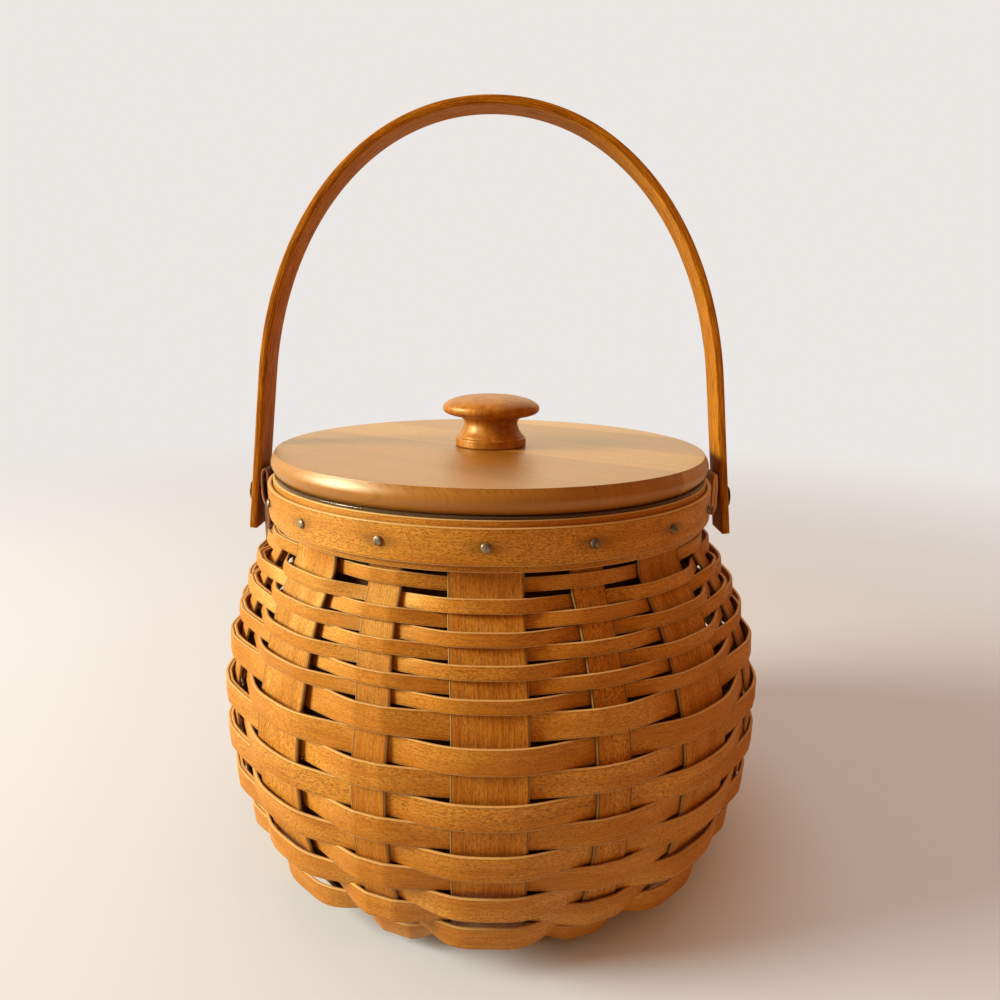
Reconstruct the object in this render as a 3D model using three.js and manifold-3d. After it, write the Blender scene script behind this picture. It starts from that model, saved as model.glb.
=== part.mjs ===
// Round splint basket with a pumpkin-shaped woven wall, a turned wooden lid and a swing handle.
// Millimetres, +Z up, origin on the table under the middle of the base, front towards -Y.
import * as THREE from "three";
import { mergeVertices } from "three/addons/utils/BufferGeometryUtils.js";
import Module from "manifold-3d";

const wasm = await Module();
wasm.setup();

// Splints and weavers
const WIDE_COUNT = 4; // long wide splints, with as many narrow ones between them
const SPLINT_T = 1.2;
const WIDE_SPLINT = 25.4;
const NARROW_SPLINT = 12.7;
const WEAVER_T = 1.2;
const NARROW_ROWS = 8;
const NARROW_WEAVER = 5;
const WIDE_ROWS = 14; // they share what the narrow rows leave of the wall
const ROW_GAP = 0.3;
const WEAVER_OVERHANG = 1.1; // a weaver runs flat this far past each upright's edge
const SEAT_GAP = 0.3; // left between pieces that bear on each other

// Wall line, taken through the middle of the uprights
const BASE_R = 78.4; // the wall starts to curve up here
const BELLY_R = 113.8;
const BELLY_Z = 70;
const SHOULDER_TURN = THREE.MathUtils.degToRad(44.9); // of the ellipse from belly to neck
const NECK_FLARE = 3.7; // neck's radius over the rim's
const NECK_H = 6.5;
const RIM_R = 88.4;
const RIM_TOP = 164.2;

// Crossing of the splints in the middle of the base
const WEAVE_TO_CLIMB = 4; // flat length left inside the innermost row
const CLIMB_RUN = 9.5; // along it the narrow splints rise onto the wide ones
const STACK_RUN = 12.5; // along it the wide splints rise into one stack
const STACK_LEAD = 3; // the narrow splints start that rise this much earlier
const MEET_MARGIN = 0.9; // rises end this far before two splints meet in plan

// Rim bands and their tacks; drops are measured down from the rim's top
const UNDER_BAND_T = 1.6;
const UNDER_BAND_H = 17.6;
const OUTER_BAND_T = 1.8;
const OUTER_BAND_H = 12.7;
const OUTER_BAND_DROP = 2.1;
const INNER_BAND_T = 1.6;
const INNER_BAND_H = 16.5;
const BAND_TO_WEAVE = 3.1; // bare length of upright under the bands
const BAND_SIDES = 48;
const TACK_HEAD_R = 1.8;
const TACK_HEAD_T = 0.9;
const TACK_SHANK = 1.3; // square
const TACK_SIDES = 8;
const TACK_DROP = 8.4;
const EAR_TACK_DROP = 5.8;
const EAR_TACK_Y = 4.4; // the ear's tack stands beside its rivet

// Clear liner
const LINER_T = 1.2;
const LINER_FLANGE_T = 0.9;
const LINER_FLANGE_INSET = 0.8; // inside the under band's outer face
const LINER_FLOOR_GAP = 2.8; // over the crossed splints
const LINER_TAPER = 6.1; // less radius at the floor than at the mouth
const LINER_CORNER = 6;
const LINER_SIDES = 48;

// Lid and knob
const LID_T = 9;
const LID_OVERHANG = 1.2; // past the liner's flange
const LID_EDGE_ROUND = 2.2; // taken off the radius at the top and the bottom
const LID_PLUG_DEPTH = 3.4;
const LID_PLUG_PLAY = 0.9; // round the plug, inside the liner
const LID_SEAT_GAP = 0.2;
const LID_SIDES = 48;
const KNOB_R = 20.6;
const KNOB_NECK_R = 11.4;
const KNOB_FOOT_R = 15.1;
const KNOB_H = 21.4;
const KNOB_EASE = 0.6; // of its rounded edges
const KNOB_SIDES = 32;
const SCREW_R = 2;
const SCREW_HEAD_R = 4.2;
const SCREW_HEAD_T = 2.4;
const SCREW_IN_KNOB = 13;
const SCREW_PLAY = 0.3;
const SCREW_SIDES = 12;

// Handle, ears and rivets
const HANDLE_W = 17;
const HANDLE_T = 3.3;
const HANDLE_STAND_OFF = 10.6; // from the outer band to a leg's outer face at its foot
const HANDLE_RISE = 146.8; // over the rim's top
const LEG_TAIL = 13.7; // under the pivot
const LEG_L = 65.8; // height of the straight leg
const LEG_LEAN = THREE.MathUtils.degToRad(6.6);
const ARCH_STEPS = 22;
const HANDLE_EASE = 0.7;
const PIVOT_DROP = 11.3;
const EAR_T = 1.2;
const EAR_W = 15;
const EAR_RISE = 1.8; // over the rim's top
const EAR_TAIL = 29.2; // under the rim's top
const EAR_FLAT = 5.5; // half height of its flat outer face, round the rivet
const RIVET_R = 1.7;
const RIVET_HEAD_R = 4.7;
const RIVET_HEAD_T = 1;
const BURR_R = 3.1;
const BURR_T = 0.8;
const RIVET_SIDES = 16;

const lidWood = new THREE.MeshStandardMaterial({ color: 0xb9854c, roughness: 0.42, metalness: 0 });
const knobWood = new THREE.MeshStandardMaterial({ color: 0xb5763a, roughness: 0.35, metalness: 0 });
const handleWood = new THREE.MeshStandardMaterial({ color: 0xb26d27, roughness: 0.45, metalness: 0 });
const splintWood = new THREE.MeshStandardMaterial({ color: 0xba7430, roughness: 0.6, metalness: 0 });
const weaverWood = new THREE.MeshStandardMaterial({ color: 0xc6802f, roughness: 0.55, metalness: 0 });
const bandWood = new THREE.MeshStandardMaterial({ color: 0xc27c2e, roughness: 0.5, metalness: 0 });
const earLeather = new THREE.MeshStandardMaterial({ color: 0x5a2c14, roughness: 0.7, metalness: 0 });
const tackMetal = new THREE.MeshStandardMaterial({ color: 0x8a7a68, roughness: 0.4, metalness: 0.9 });
const rivetMetal = new THREE.MeshStandardMaterial({ color: 0x6b3f22, roughness: 0.4, metalness: 0.8 });
const screwSteel = new THREE.MeshStandardMaterial({ color: 0xb0b2b4, roughness: 0.3, metalness: 1 });
const linerPlastic = new THREE.MeshStandardMaterial({ color: 0xdfe6e8, roughness: 0.1, metalness: 0 });

const basket = new THREE.Group();

function addPiece(name, geometry, material) {
  const mesh = new THREE.Mesh(geometry, material);
  mesh.name = name;
  basket.add(mesh);
}

// Booleans
function toSolid(geometry) {
  const bare = new THREE.BufferGeometry();
  const flat = geometry.index ? geometry.toNonIndexed() : geometry;
  bare.setAttribute("position", flat.getAttribute("position").clone());
  const merged = mergeVertices(bare, 1e-4);
  return new wasm.Manifold(
    new wasm.Mesh({
      numProp: 3,
      vertProperties: merged.attributes.position.array,
      triVerts: new Uint32Array(merged.index.array),
    }),
  );
}

function toGeometry(solid) {
  const mesh = solid.getMesh();
  const geometry = new THREE.BufferGeometry();
  geometry.setAttribute("position", new THREE.BufferAttribute(mesh.vertProperties, 3));
  geometry.setIndex(new THREE.BufferAttribute(mesh.triVerts, 1));
  return geometry;
}

function cut(geometry, tools) {
  let solid = toSolid(geometry);
  for (const tool of tools) solid = solid.subtract(toSolid(tool));
  return toGeometry(solid);
}

function lathe(points, sides) {
  const profile = points.map(([r, z]) => new THREE.Vector2(r, z));
  return new THREE.LatheGeometry(profile, sides).rotateX(Math.PI / 2);
}

function ringBand(innerR, outerR, bottom, top) {
  const profile = [
    [innerR, bottom],
    [outerR, bottom],
    [outerR, top],
    [innerR, top],
    [innerR, bottom],
  ];
  return lathe(profile, BAND_SIDES);
}

// Each long splint crosses the base and stands up on both sides
const UPRIGHTS = 4 * WIDE_COUNT;

// Where an upright stands round the basket: angle from the front, towards +X
const uprightAngle = (i) => (i * 2 * Math.PI) / UPRIGHTS;
const isWide = (i) => i % 2 === 0;
const splintWidth = (i) => (isWide(i) ? WIDE_SPLINT : NARROW_SPLINT);

// Turns a piece made along +X, facing out, to an angle from the front
function faceOut(geometry, angle) {
  return geometry.rotateZ(angle - Math.PI / 2);
}

// Where two splints that cross in the middle of the base meet in plan, along the first one
function meetX(ownWidth, otherWidth, angle) {
  return (otherWidth / 2 + (ownWidth / 2) * Math.cos(angle)) / Math.sin(angle);
}
const climbEnd = meetX(NARROW_SPLINT, WIDE_SPLINT, uprightAngle(1)) + MEET_MARGIN;
const climbStart = climbEnd + CLIMB_RUN;
const stackEnd = meetX(WIDE_SPLINT, WIDE_SPLINT, uprightAngle(2)) + MEET_MARGIN;
const stackStart = stackEnd + STACK_RUN;
const weaveEndR = climbStart + WEAVE_TO_CLIMB;

// Wall line from the inner end of the base weave up to the top of the weave
const weaverOffset = SPLINT_T / 2 + SEAT_GAP + WEAVER_T / 2;
const baseZ = weaverOffset + WEAVER_T / 2;
const underBottom = RIM_TOP - UNDER_BAND_H;
const weaveTop = underBottom - BAND_TO_WEAVE;
const neckZ = weaveTop - NECK_H;
const neckR = RIM_R + NECK_FLARE;
const shoulderH = (neckZ - BELLY_Z) / Math.sin(SHOULDER_TURN);
const shoulderD = (BELLY_R - neckR) / (1 - Math.cos(SHOULDER_TURN));
const neckSlope = shoulderH / (shoulderD * Math.tan(SHOULDER_TURN));
const neckPull = Math.min(NECK_FLARE * neckSlope, NECK_H);

const wall = new THREE.CurvePath();
wall.add(new THREE.LineCurve(new THREE.Vector2(weaveEndR, baseZ), new THREE.Vector2(BASE_R, baseZ)));
wall.add(
  new THREE.EllipseCurve(BASE_R, BELLY_Z, BELLY_R - BASE_R, BELLY_Z - baseZ, -Math.PI / 2, 0),
);
wall.add(
  new THREE.EllipseCurve(BELLY_R - shoulderD, BELLY_Z, shoulderD, shoulderH, 0, SHOULDER_TURN),
);
wall.add(
  new THREE.QuadraticBezierCurve(
    new THREE.Vector2(neckR, neckZ),
    new THREE.Vector2(RIM_R, neckZ + neckPull),
    new THREE.Vector2(RIM_R, weaveTop),
  ),
);
const wallLength = wall.getLength();

// Distances down the wall, from the top of the weave, at which one row ends and the next begins
const narrowPitch = NARROW_WEAVER + ROW_GAP;
const widePitch = (wallLength - NARROW_ROWS * narrowPitch) / WIDE_ROWS;
const rowEdges = [0];
for (let k = 0; k < NARROW_ROWS + WIDE_ROWS; k++) {
  rowEdges.push(rowEdges[k] + (k < NARROW_ROWS ? narrowPitch : widePitch));
}

// A point of the wall at a distance down from the top of the weave, with its outward normal
function wallPoint(down) {
  const u = THREE.MathUtils.clamp(1 - down / wallLength, 0, 1);
  const point = wall.getPointAt(u);
  const along = wall.getTangentAt(u);
  return { r: point.x, z: point.y, nr: along.y, nz: -along.x };
}
const wallNodes = rowEdges.map(wallPoint);
for (const p of wallNodes) {
  const onBase = p.r < BASE_R;
  if (onBase) Object.assign(p, { z: baseZ, nr: 0, nz: -1 });
}

// The same wall as straight runs between the row edges
function wallRun(row, share) {
  const a = wallNodes[row];
  const b = wallNodes[row + 1];
  const mix = (key) => THREE.MathUtils.lerp(a[key], b[key], share);
  return { r: mix("r"), z: mix("z"), nr: mix("nr"), nz: mix("nz") };
}

// How far out a flat splint of a given width stands, with its edges on the wall's circle
const seatX = (r, width) => Math.sqrt(r * r - (width * width) / 4);

const layerStep = SPLINT_T + SEAT_GAP;
const stackTop = baseZ + (UPRIGHTS / 2 - 1) * layerStep + SPLINT_T / 2;

// One long splint: down one side, across the base and up the other side, as a thick bent line
function splintLine(width, layer, wide) {
  const line = [{ x: seatX(RIM_R, width), z: RIM_TOP - SEAT_GAP }];
  for (const p of wallNodes) line.push({ x: seatX(p.r, width), z: p.z });
  if (wide) {
    line.push({ x: stackStart, z: baseZ });
    line.push({ x: stackEnd, z: baseZ + layer * layerStep });
  } else {
    const leadStart = Math.min(stackStart + STACK_LEAD, climbEnd - MEET_MARGIN);
    line.push({ x: climbStart, z: baseZ });
    line.push({ x: climbEnd, z: baseZ + layerStep });
    line.push({ x: leadStart, z: baseZ + layerStep });
    line.push({ x: stackEnd + STACK_LEAD / 2, z: baseZ + layer * layerStep });
  }
  const farSide = line.map((p) => ({ x: -p.x, z: p.z })).reverse();
  return line.concat(farSide);
}

// Outline of a bent line with thickness, mitred at its bends
function thickOutline(line, thickness) {
  const left = [];
  const right = [];
  line.forEach((p, k) => {
    const before = line[Math.max(k - 1, 0)];
    const after = line[Math.min(k + 1, line.length - 1)];
    const a = new THREE.Vector2(p.x - before.x, p.z - before.z).normalize();
    const b = new THREE.Vector2(after.x - p.x, after.z - p.z).normalize();
    if (k === 0) a.copy(b);
    if (k === line.length - 1) b.copy(a);
    const mean = a.clone().add(b).normalize();
    const reach = thickness / 2 / Math.max(mean.dot(a), 0.5);
    left.push(new THREE.Vector2(p.x - mean.y * reach, p.z + mean.x * reach));
    right.push(new THREE.Vector2(p.x + mean.y * reach, p.z - mean.x * reach));
  });
  return left.concat(right.reverse());
}

// Extrudes an outline drawn in X and Z over a width along Y, centred on Y = 0
function extrudeAcross(shape, width, options = {}) {
  const depth = width - 2 * (options.bevelThickness ?? 0);
  const geometry = new THREE.ExtrudeGeometry(shape, { depth, bevelEnabled: false, ...options });
  return geometry.translate(0, 0, -depth / 2).rotateX(Math.PI / 2);
}

// A box along +X from one radius to another, for shanks and their holes
function radialBox(side, fromR, toR, y, z) {
  return new THREE.BoxGeometry(toR - fromR, side, side).translate((fromR + toR) / 2, y, z);
}

// Radii of the rim's layers; a band's flats lie this share of its radius from the middle
const bandCornerShare = Math.cos(Math.PI / BAND_SIDES);
const underInnerR = (RIM_R + SPLINT_T / 2) / bandCornerShare + SEAT_GAP;
const underOuterR = underInnerR + UNDER_BAND_T;
const outerInnerR = underOuterR + SEAT_GAP;
const outerOuterR = outerInnerR + OUTER_BAND_T;
const innerOuterR = seatX(RIM_R, WIDE_SPLINT) - SPLINT_T / 2 - SEAT_GAP;
const innerInnerR = innerOuterR - INNER_BAND_T;
const earInnerR = outerOuterR + SEAT_GAP;

// The handle's legs lean in, so what stands inside them stays clear of them at any swing
const pivotZ = RIM_TOP - PIVOT_DROP;
const legBottom = pivotZ - LEG_TAIL;
const legFootR = outerOuterR + HANDLE_STAND_OFF;
const legX = (z) => legFootR - HANDLE_T / 2 - (z - legBottom) * Math.tan(LEG_LEAN);
const legInnerX = (z) => legX(z) - HANDLE_T / 2 / Math.cos(LEG_LEAN);
const earOuterR = legInnerX(pivotZ + Math.hypot(EAR_W / 2, EAR_FLAT)) - SEAT_GAP;
const eyeMiddleR = (earInnerR + earOuterR) / 2;
const rivetHoleR = RIVET_R + SEAT_GAP;

// Every upright has one tack; those under the ears stand beside the rivet, on top of the ear
const earUprights = [UPRIGHTS / 4, (3 * UPRIGHTS) / 4];
const isEar = (i) => earUprights.includes(i);
const tackY = (i) => (isEar(i) ? EAR_TACK_Y : 0);
const tackZ = (i) => RIM_TOP - (isEar(i) ? EAR_TACK_DROP : TACK_DROP);
const tackHoleSide = TACK_SHANK + 2 * SEAT_GAP;

// The hole runs through every layer of the rim
function tackHole(i) {
  const innerEnd = innerInnerR * bandCornerShare - SEAT_GAP;
  const outerEnd = earInnerR + EAR_T + SEAT_GAP;
  return faceOut(radialBox(tackHoleSide, innerEnd, outerEnd, tackY(i), tackZ(i)), uprightAngle(i));
}
const tackHoles = [...Array(UPRIGHTS).keys()].map(tackHole);

function makeSplint(i) {
  const wide = isWide(i);
  const width = splintWidth(i);
  const layer = wide ? i / 2 : UPRIGHTS / 4 + (i - 1) / 2;
  const shape = new THREE.Shape(thickOutline(splintLine(width, layer, wide), SPLINT_T));
  const geometry = faceOut(extrudeAcross(shape, width), uprightAngle(i));
  return cut(geometry, [tackHoles[i], tackHoles[i + UPRIGHTS / 2]]);
}

for (let i = 0; i < UPRIGHTS / 2; i++) {
  const kind = isWide(i) ? "wide_splint_" : "narrow_splint_";
  addPiece(kind + (Math.floor(i / 2) + 1), makeSplint(i), splintWood);
}

// One row: a closed band that passes outside one upright and inside the next
function makeRow(row) {
  const pitch = rowEdges[row + 1] - rowEdges[row];
  const inset = ROW_GAP / 2 / pitch;
  const top = wallRun(row, inset);
  const bottom = wallRun(row, 1 - inset);
  const positions = [];
  for (let i = 0; i < UPRIGHTS; i++) {
    const outside = (row + 1 + i) % 2 === 0;
    const offset = outside ? weaverOffset : -weaverOffset;
    const width = splintWidth(i);
    const angle = uprightAngle(i);
    const out = new THREE.Vector3(Math.sin(angle), -Math.cos(angle), 0);
    const side = new THREE.Vector3(Math.cos(angle), Math.sin(angle), 0);
    for (const end of [-1, 1]) {
      const across = side.clone().multiplyScalar(end * (width / 2 + WEAVER_OVERHANG));
      for (const [edge, face] of [[top, 1], [bottom, 1], [bottom, -1], [top, -1]]) {
        const away = offset + (face * WEAVER_T) / 2;
        const point = across.clone().addScaledVector(out, seatX(edge.r, width) + away * edge.nr);
        positions.push(point.x, point.y, edge.z + away * edge.nz);
      }
    }
  }
  const sections = UPRIGHTS * 2;
  const index = [];
  for (let s = 0; s < sections; s++) {
    const a = s * 4;
    const b = ((s + 1) % sections) * 4;
    for (let c = 0; c < 4; c++) {
      const d = (c + 1) % 4;
      index.push(a + c, a + d, b + c, b + c, a + d, b + d);
    }
  }
  const geometry = new THREE.BufferGeometry();
  geometry.setAttribute("position", new THREE.Float32BufferAttribute(positions, 3));
  geometry.setIndex(index);
  return geometry;
}

for (let row = 0; row < NARROW_ROWS + WIDE_ROWS; row++) {
  const kind = row < NARROW_ROWS ? "narrow_weaver_" : "wide_weaver_";
  addPiece(kind + (row + 1), makeRow(row), weaverWood);
}

// Rim bands
const outerTop = RIM_TOP - OUTER_BAND_DROP;
const underBand = ringBand(underInnerR, underOuterR, underBottom, RIM_TOP);
const outerBand = ringBand(outerInnerR, outerOuterR, outerTop - OUTER_BAND_H, outerTop);
const innerBand = ringBand(innerInnerR, innerOuterR, RIM_TOP - INNER_BAND_H, RIM_TOP);
addPiece("rim_under_band", cut(underBand, tackHoles), bandWood);
addPiece("rim_outer_band", cut(outerBand, tackHoles), bandWood);
addPiece("rim_inner_band", cut(innerBand, tackHoles), bandWood);

// Tacks with a round head and a square shank
function makeTack(i) {
  const seat = (isEar(i) ? earInnerR + EAR_T : outerOuterR) + SEAT_GAP / 2;
  const head = lathe(
    [
      [0, 0],
      [TACK_HEAD_R, 0],
      [TACK_HEAD_R, TACK_HEAD_T * 0.5],
      [TACK_HEAD_R * 0.6, TACK_HEAD_T],
      [0, TACK_HEAD_T],
    ],
    TACK_SIDES,
  )
    .rotateY(Math.PI / 2)
    .translate(seat, tackY(i), tackZ(i));
  const shank = radialBox(TACK_SHANK, innerInnerR, seat + TACK_HEAD_T / 2, tackY(i), tackZ(i));
  const tack = toGeometry(toSolid(head).add(toSolid(shank)));
  return faceOut(tack, uprightAngle(i));
}

for (let i = 0; i < UPRIGHTS; i++) addPiece("rim_tack_" + (i + 1), makeTack(i), tackMetal);

// Liner: a thin tapered bucket that hangs in the rim by its flange
const linerTopR = innerInnerR - 2 * SEAT_GAP;
const flangeBottom = RIM_TOP + SEAT_GAP / 2;
const flangeTop = flangeBottom + LINER_FLANGE_T;
const flangeR = underOuterR - LINER_FLANGE_INSET;
const floorR = linerTopR - LINER_TAPER;
const floorZ = stackTop + LINER_FLOOR_GAP;
addPiece(
  "liner",
  lathe(
    [
      [0, floorZ],
      [floorR - LINER_CORNER, floorZ],
      [floorR, floorZ + LINER_CORNER],
      [linerTopR, flangeBottom],
      [flangeR, flangeBottom],
      [flangeR, flangeTop],
      [linerTopR - LINER_T, flangeTop],
      [floorR - LINER_T, floorZ + LINER_CORNER],
      [floorR - LINER_CORNER - LINER_T / 2, floorZ + LINER_T],
      [0, floorZ + LINER_T],
    ],
    LINER_SIDES,
  ),
  linerPlastic,
);

// Lid with a rounded edge, a plug that drops into the liner, and a hole for the knob's screw
const lidBottom = flangeTop + LID_SEAT_GAP;
const lidTop = lidBottom + LID_T;
const lidR = flangeR + LID_OVERHANG;
const plugR = linerTopR - LINER_T - LID_PLUG_PLAY;
const plugBottom = lidBottom - LID_PLUG_DEPTH;
const screwHoleR = SCREW_R + SCREW_PLAY;
const screwPocketR = SCREW_HEAD_R + SCREW_PLAY;
const screwSeatZ = plugBottom + SCREW_HEAD_T + 2 * SCREW_PLAY;
addPiece(
  "lid_board",
  lathe(
    [
      [screwHoleR, screwSeatZ],
      [screwPocketR, screwSeatZ],
      [screwPocketR, plugBottom],
      [plugR, plugBottom],
      [plugR, lidBottom],
      [lidR - LID_EDGE_ROUND, lidBottom],
      [lidR - LID_EDGE_ROUND * 0.2, lidBottom + LID_T * 0.3],
      [lidR, lidBottom + LID_T * 0.55],
      [lidR - LID_EDGE_ROUND * 0.3, lidBottom + LID_T * 0.82],
      [lidR - LID_EDGE_ROUND, lidTop],
      [screwHoleR, lidTop],
      [screwHoleR, screwSeatZ],
    ],
    LID_SIDES,
  ),
  lidWood,
);

// Turned knob, bored for its screw
const knobBottom = lidTop + SEAT_GAP / 2;
const boreTop = knobBottom + SCREW_IN_KNOB + SCREW_PLAY;
addPiece(
  "lid_knob",
  lathe(
    [
      [0, boreTop],
      [screwHoleR, boreTop],
      [screwHoleR, knobBottom],
      [KNOB_FOOT_R - KNOB_EASE, knobBottom],
      [KNOB_FOOT_R, knobBottom + KNOB_EASE],
      [KNOB_FOOT_R, knobBottom + KNOB_H * 0.14],
      [KNOB_FOOT_R - 2 * KNOB_EASE, knobBottom + KNOB_H * 0.2],
      [KNOB_NECK_R + KNOB_EASE, knobBottom + KNOB_H * 0.34],
      [KNOB_NECK_R, knobBottom + KNOB_H * 0.44],
      [KNOB_NECK_R + 2 * KNOB_EASE, knobBottom + KNOB_H * 0.53],
      [KNOB_R * 0.82, knobBottom + KNOB_H * 0.6],
      [KNOB_R, knobBottom + KNOB_H * 0.73],
      [KNOB_R * 0.94, knobBottom + KNOB_H * 0.83],
      [KNOB_R * 0.68, knobBottom + KNOB_H * 0.94],
      [KNOB_R * 0.3, knobBottom + KNOB_H],
      [0, knobBottom + KNOB_H],
    ],
    KNOB_SIDES,
  ),
  knobWood,
);

// Screw from under the lid up into the knob
const screwBottom = plugBottom + SCREW_PLAY;
addPiece(
  "knob_screw",
  lathe(
    [
      [0, screwBottom],
      [SCREW_HEAD_R, screwBottom],
      [SCREW_HEAD_R, screwBottom + SCREW_HEAD_T],
      [SCREW_R, screwBottom + SCREW_HEAD_T],
      [SCREW_R, knobBottom + SCREW_IN_KNOB - SCREW_R],
      [0, knobBottom + SCREW_IN_KNOB],
    ],
    SCREW_SIDES,
  ),
  screwSteel,
);

// Handle: two leaning legs and a bent arch, as one steamed strip
function archLine() {
  const foot = new THREE.Vector2(legX(legBottom), legBottom);
  const lean = new THREE.Vector2(-Math.sin(LEG_LEAN), Math.cos(LEG_LEAN));
  const legEnd = foot.clone().addScaledVector(lean, LEG_L / lean.y);
  const crown = new THREE.Vector2(0, RIM_TOP + HANDLE_RISE - HANDLE_T / 2);
  const round = 0.5523; // a cubic's reach for a quarter of an ellipse
  const rise = legEnd.clone().addScaledVector(lean, (crown.y - legEnd.y) * round);
  const level = new THREE.Vector2(legEnd.x * round, crown.y);
  const bend = new THREE.CubicBezierCurve(legEnd, rise, level, crown);
  const half = [foot, ...bend.getSpacedPoints(ARCH_STEPS / 2)];
  const other = half.slice(0, -1).map((p) => new THREE.Vector2(-p.x, p.y)).reverse();
  return half.concat(other).map((p) => ({ x: p.x, z: p.y }));
}

// Hole for a rivet, through a leg and the ear's outer side but not its inner one
function rivetHole(sideSign) {
  const length = 2 * (legFootR - eyeMiddleR);
  const hole = new THREE.CylinderGeometry(rivetHoleR, rivetHoleR, length, RIVET_SIDES);
  return hole.rotateZ(Math.PI / 2).translate(sideSign * legFootR, 0, pivotZ);
}

function makeHandle() {
  // The bevel stands out past the outline, so the outline is drawn thinner by it
  const shape = new THREE.Shape(thickOutline(archLine(), HANDLE_T - 2 * HANDLE_EASE));
  const strip = extrudeAcross(shape, HANDLE_W, {
    bevelEnabled: true,
    bevelSegments: 1,
    bevelSize: HANDLE_EASE,
    bevelThickness: HANDLE_EASE,
  });
  return cut(strip, [rivetHole(1), rivetHole(-1)]);
}
addPiece("swing_handle", makeHandle(), handleWood);

// Leather ears: a strap closed into a loop against the rim, its tail over the top rows
function makeEar(sideSign) {
  const earTop = RIM_TOP + EAR_RISE;
  const earBottom = RIM_TOP - EAR_TAIL;
  const rowBelow = wallNodes.find((p) => p.z < earBottom);
  const tailX = seatX(rowBelow.r, WIDE_SPLINT) + weaverOffset + WEAVER_T / 2 + SEAT_GAP;
  const flatBottom = pivotZ - EAR_FLAT;
  const flatTop = pivotZ + EAR_FLAT;
  const outline = new THREE.Shape();
  outline.moveTo(tailX, earBottom);
  outline.lineTo(tailX + EAR_T, earBottom);
  outline.quadraticCurveTo(earOuterR, (earBottom + flatBottom) / 2, earOuterR, flatBottom);
  outline.lineTo(earOuterR, flatTop);
  outline.quadraticCurveTo(earOuterR, earTop, earInnerR + 2 * EAR_T, earTop);
  outline.quadraticCurveTo(earInnerR, earTop, earInnerR, earTop - 2 * EAR_T);
  outline.lineTo(earInnerR, outerTop - OUTER_BAND_H);
  outline.closePath();
  const eye = new THREE.Path();
  const eyeInner = earInnerR + EAR_T;
  const eyeOuter = earOuterR - EAR_T;
  eye.moveTo(eyeInner, flatBottom);
  eye.lineTo(eyeOuter, flatBottom);
  eye.lineTo(eyeOuter, flatTop);
  eye.quadraticCurveTo(eyeOuter, earTop - 2 * EAR_T, eyeInner, earTop - 2 * EAR_T);
  eye.closePath();
  outline.holes.push(eye);
  const strap = extrudeAcross(outline, EAR_W, { curveSegments: 4 });
  const angle = sideSign > 0 ? Math.PI / 2 : -Math.PI / 2;
  const upright = earUprights[sideSign > 0 ? 0 : 1];
  return cut(faceOut(strap, angle), [tackHoles[upright], rivetHole(sideSign)]);
}
addPiece("ear_right", makeEar(1), earLeather);
addPiece("ear_left", makeEar(-1), earLeather);

// Rivets: the handle's pivots, headed outside the leg and burred inside the ear
function makeRivet(sideSign) {
  const legOut = legX(pivotZ) + HANDLE_T / 2 / Math.cos(LEG_LEAN);
  const tilt = RIVET_HEAD_R * Math.tan(LEG_LEAN);
  const headIn = legOut + tilt + SEAT_GAP / 2;
  const burrOut = earOuterR - EAR_T - SEAT_GAP / 2;
  const rivet = lathe(
    [
      [0, burrOut - BURR_T],
      [BURR_R, burrOut - BURR_T],
      [BURR_R, burrOut],
      [RIVET_R, burrOut],
      [RIVET_R, headIn],
      [RIVET_HEAD_R, headIn],
      [RIVET_HEAD_R, headIn + RIVET_HEAD_T * 0.35],
      [RIVET_HEAD_R * 0.6, headIn + RIVET_HEAD_T],
      [0, headIn + RIVET_HEAD_T],
    ],
    RIVET_SIDES,
  );
  return rivet.rotateY((sideSign * Math.PI) / 2).translate(0, 0, pivotZ);
}
addPiece("rivet_right", makeRivet(1), rivetMetal);
addPiece("rivet_left", makeRivet(-1), rivetMetal);

export default basket;
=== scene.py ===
"""Dresses the packed lidded splint basket: bent wood strips, lid, knob, handle, ears and stage."""

import math

import bmesh
import bpy
import numpy as np
from bpy.props import FloatProperty, FloatVectorProperty, IntProperty, PointerProperty
from mathutils import Matrix, Vector


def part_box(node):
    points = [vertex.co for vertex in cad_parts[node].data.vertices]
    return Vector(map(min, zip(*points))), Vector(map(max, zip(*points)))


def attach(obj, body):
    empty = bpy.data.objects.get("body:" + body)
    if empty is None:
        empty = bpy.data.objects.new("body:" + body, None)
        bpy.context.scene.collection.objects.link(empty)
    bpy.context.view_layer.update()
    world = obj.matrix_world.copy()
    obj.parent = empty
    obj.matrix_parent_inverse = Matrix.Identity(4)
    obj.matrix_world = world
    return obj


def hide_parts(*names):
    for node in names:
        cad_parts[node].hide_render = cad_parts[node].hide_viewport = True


bl_info = {
    "name": "Splint Basket",
    "version": (1, 0, 0),
    "blender": (4, 5, 0),
    "location": "3D View > Sidebar > Basket",
    "description": "Builds a lidded splint basket with a swing handle around its packed frame",
    "category": "Object",
}

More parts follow.
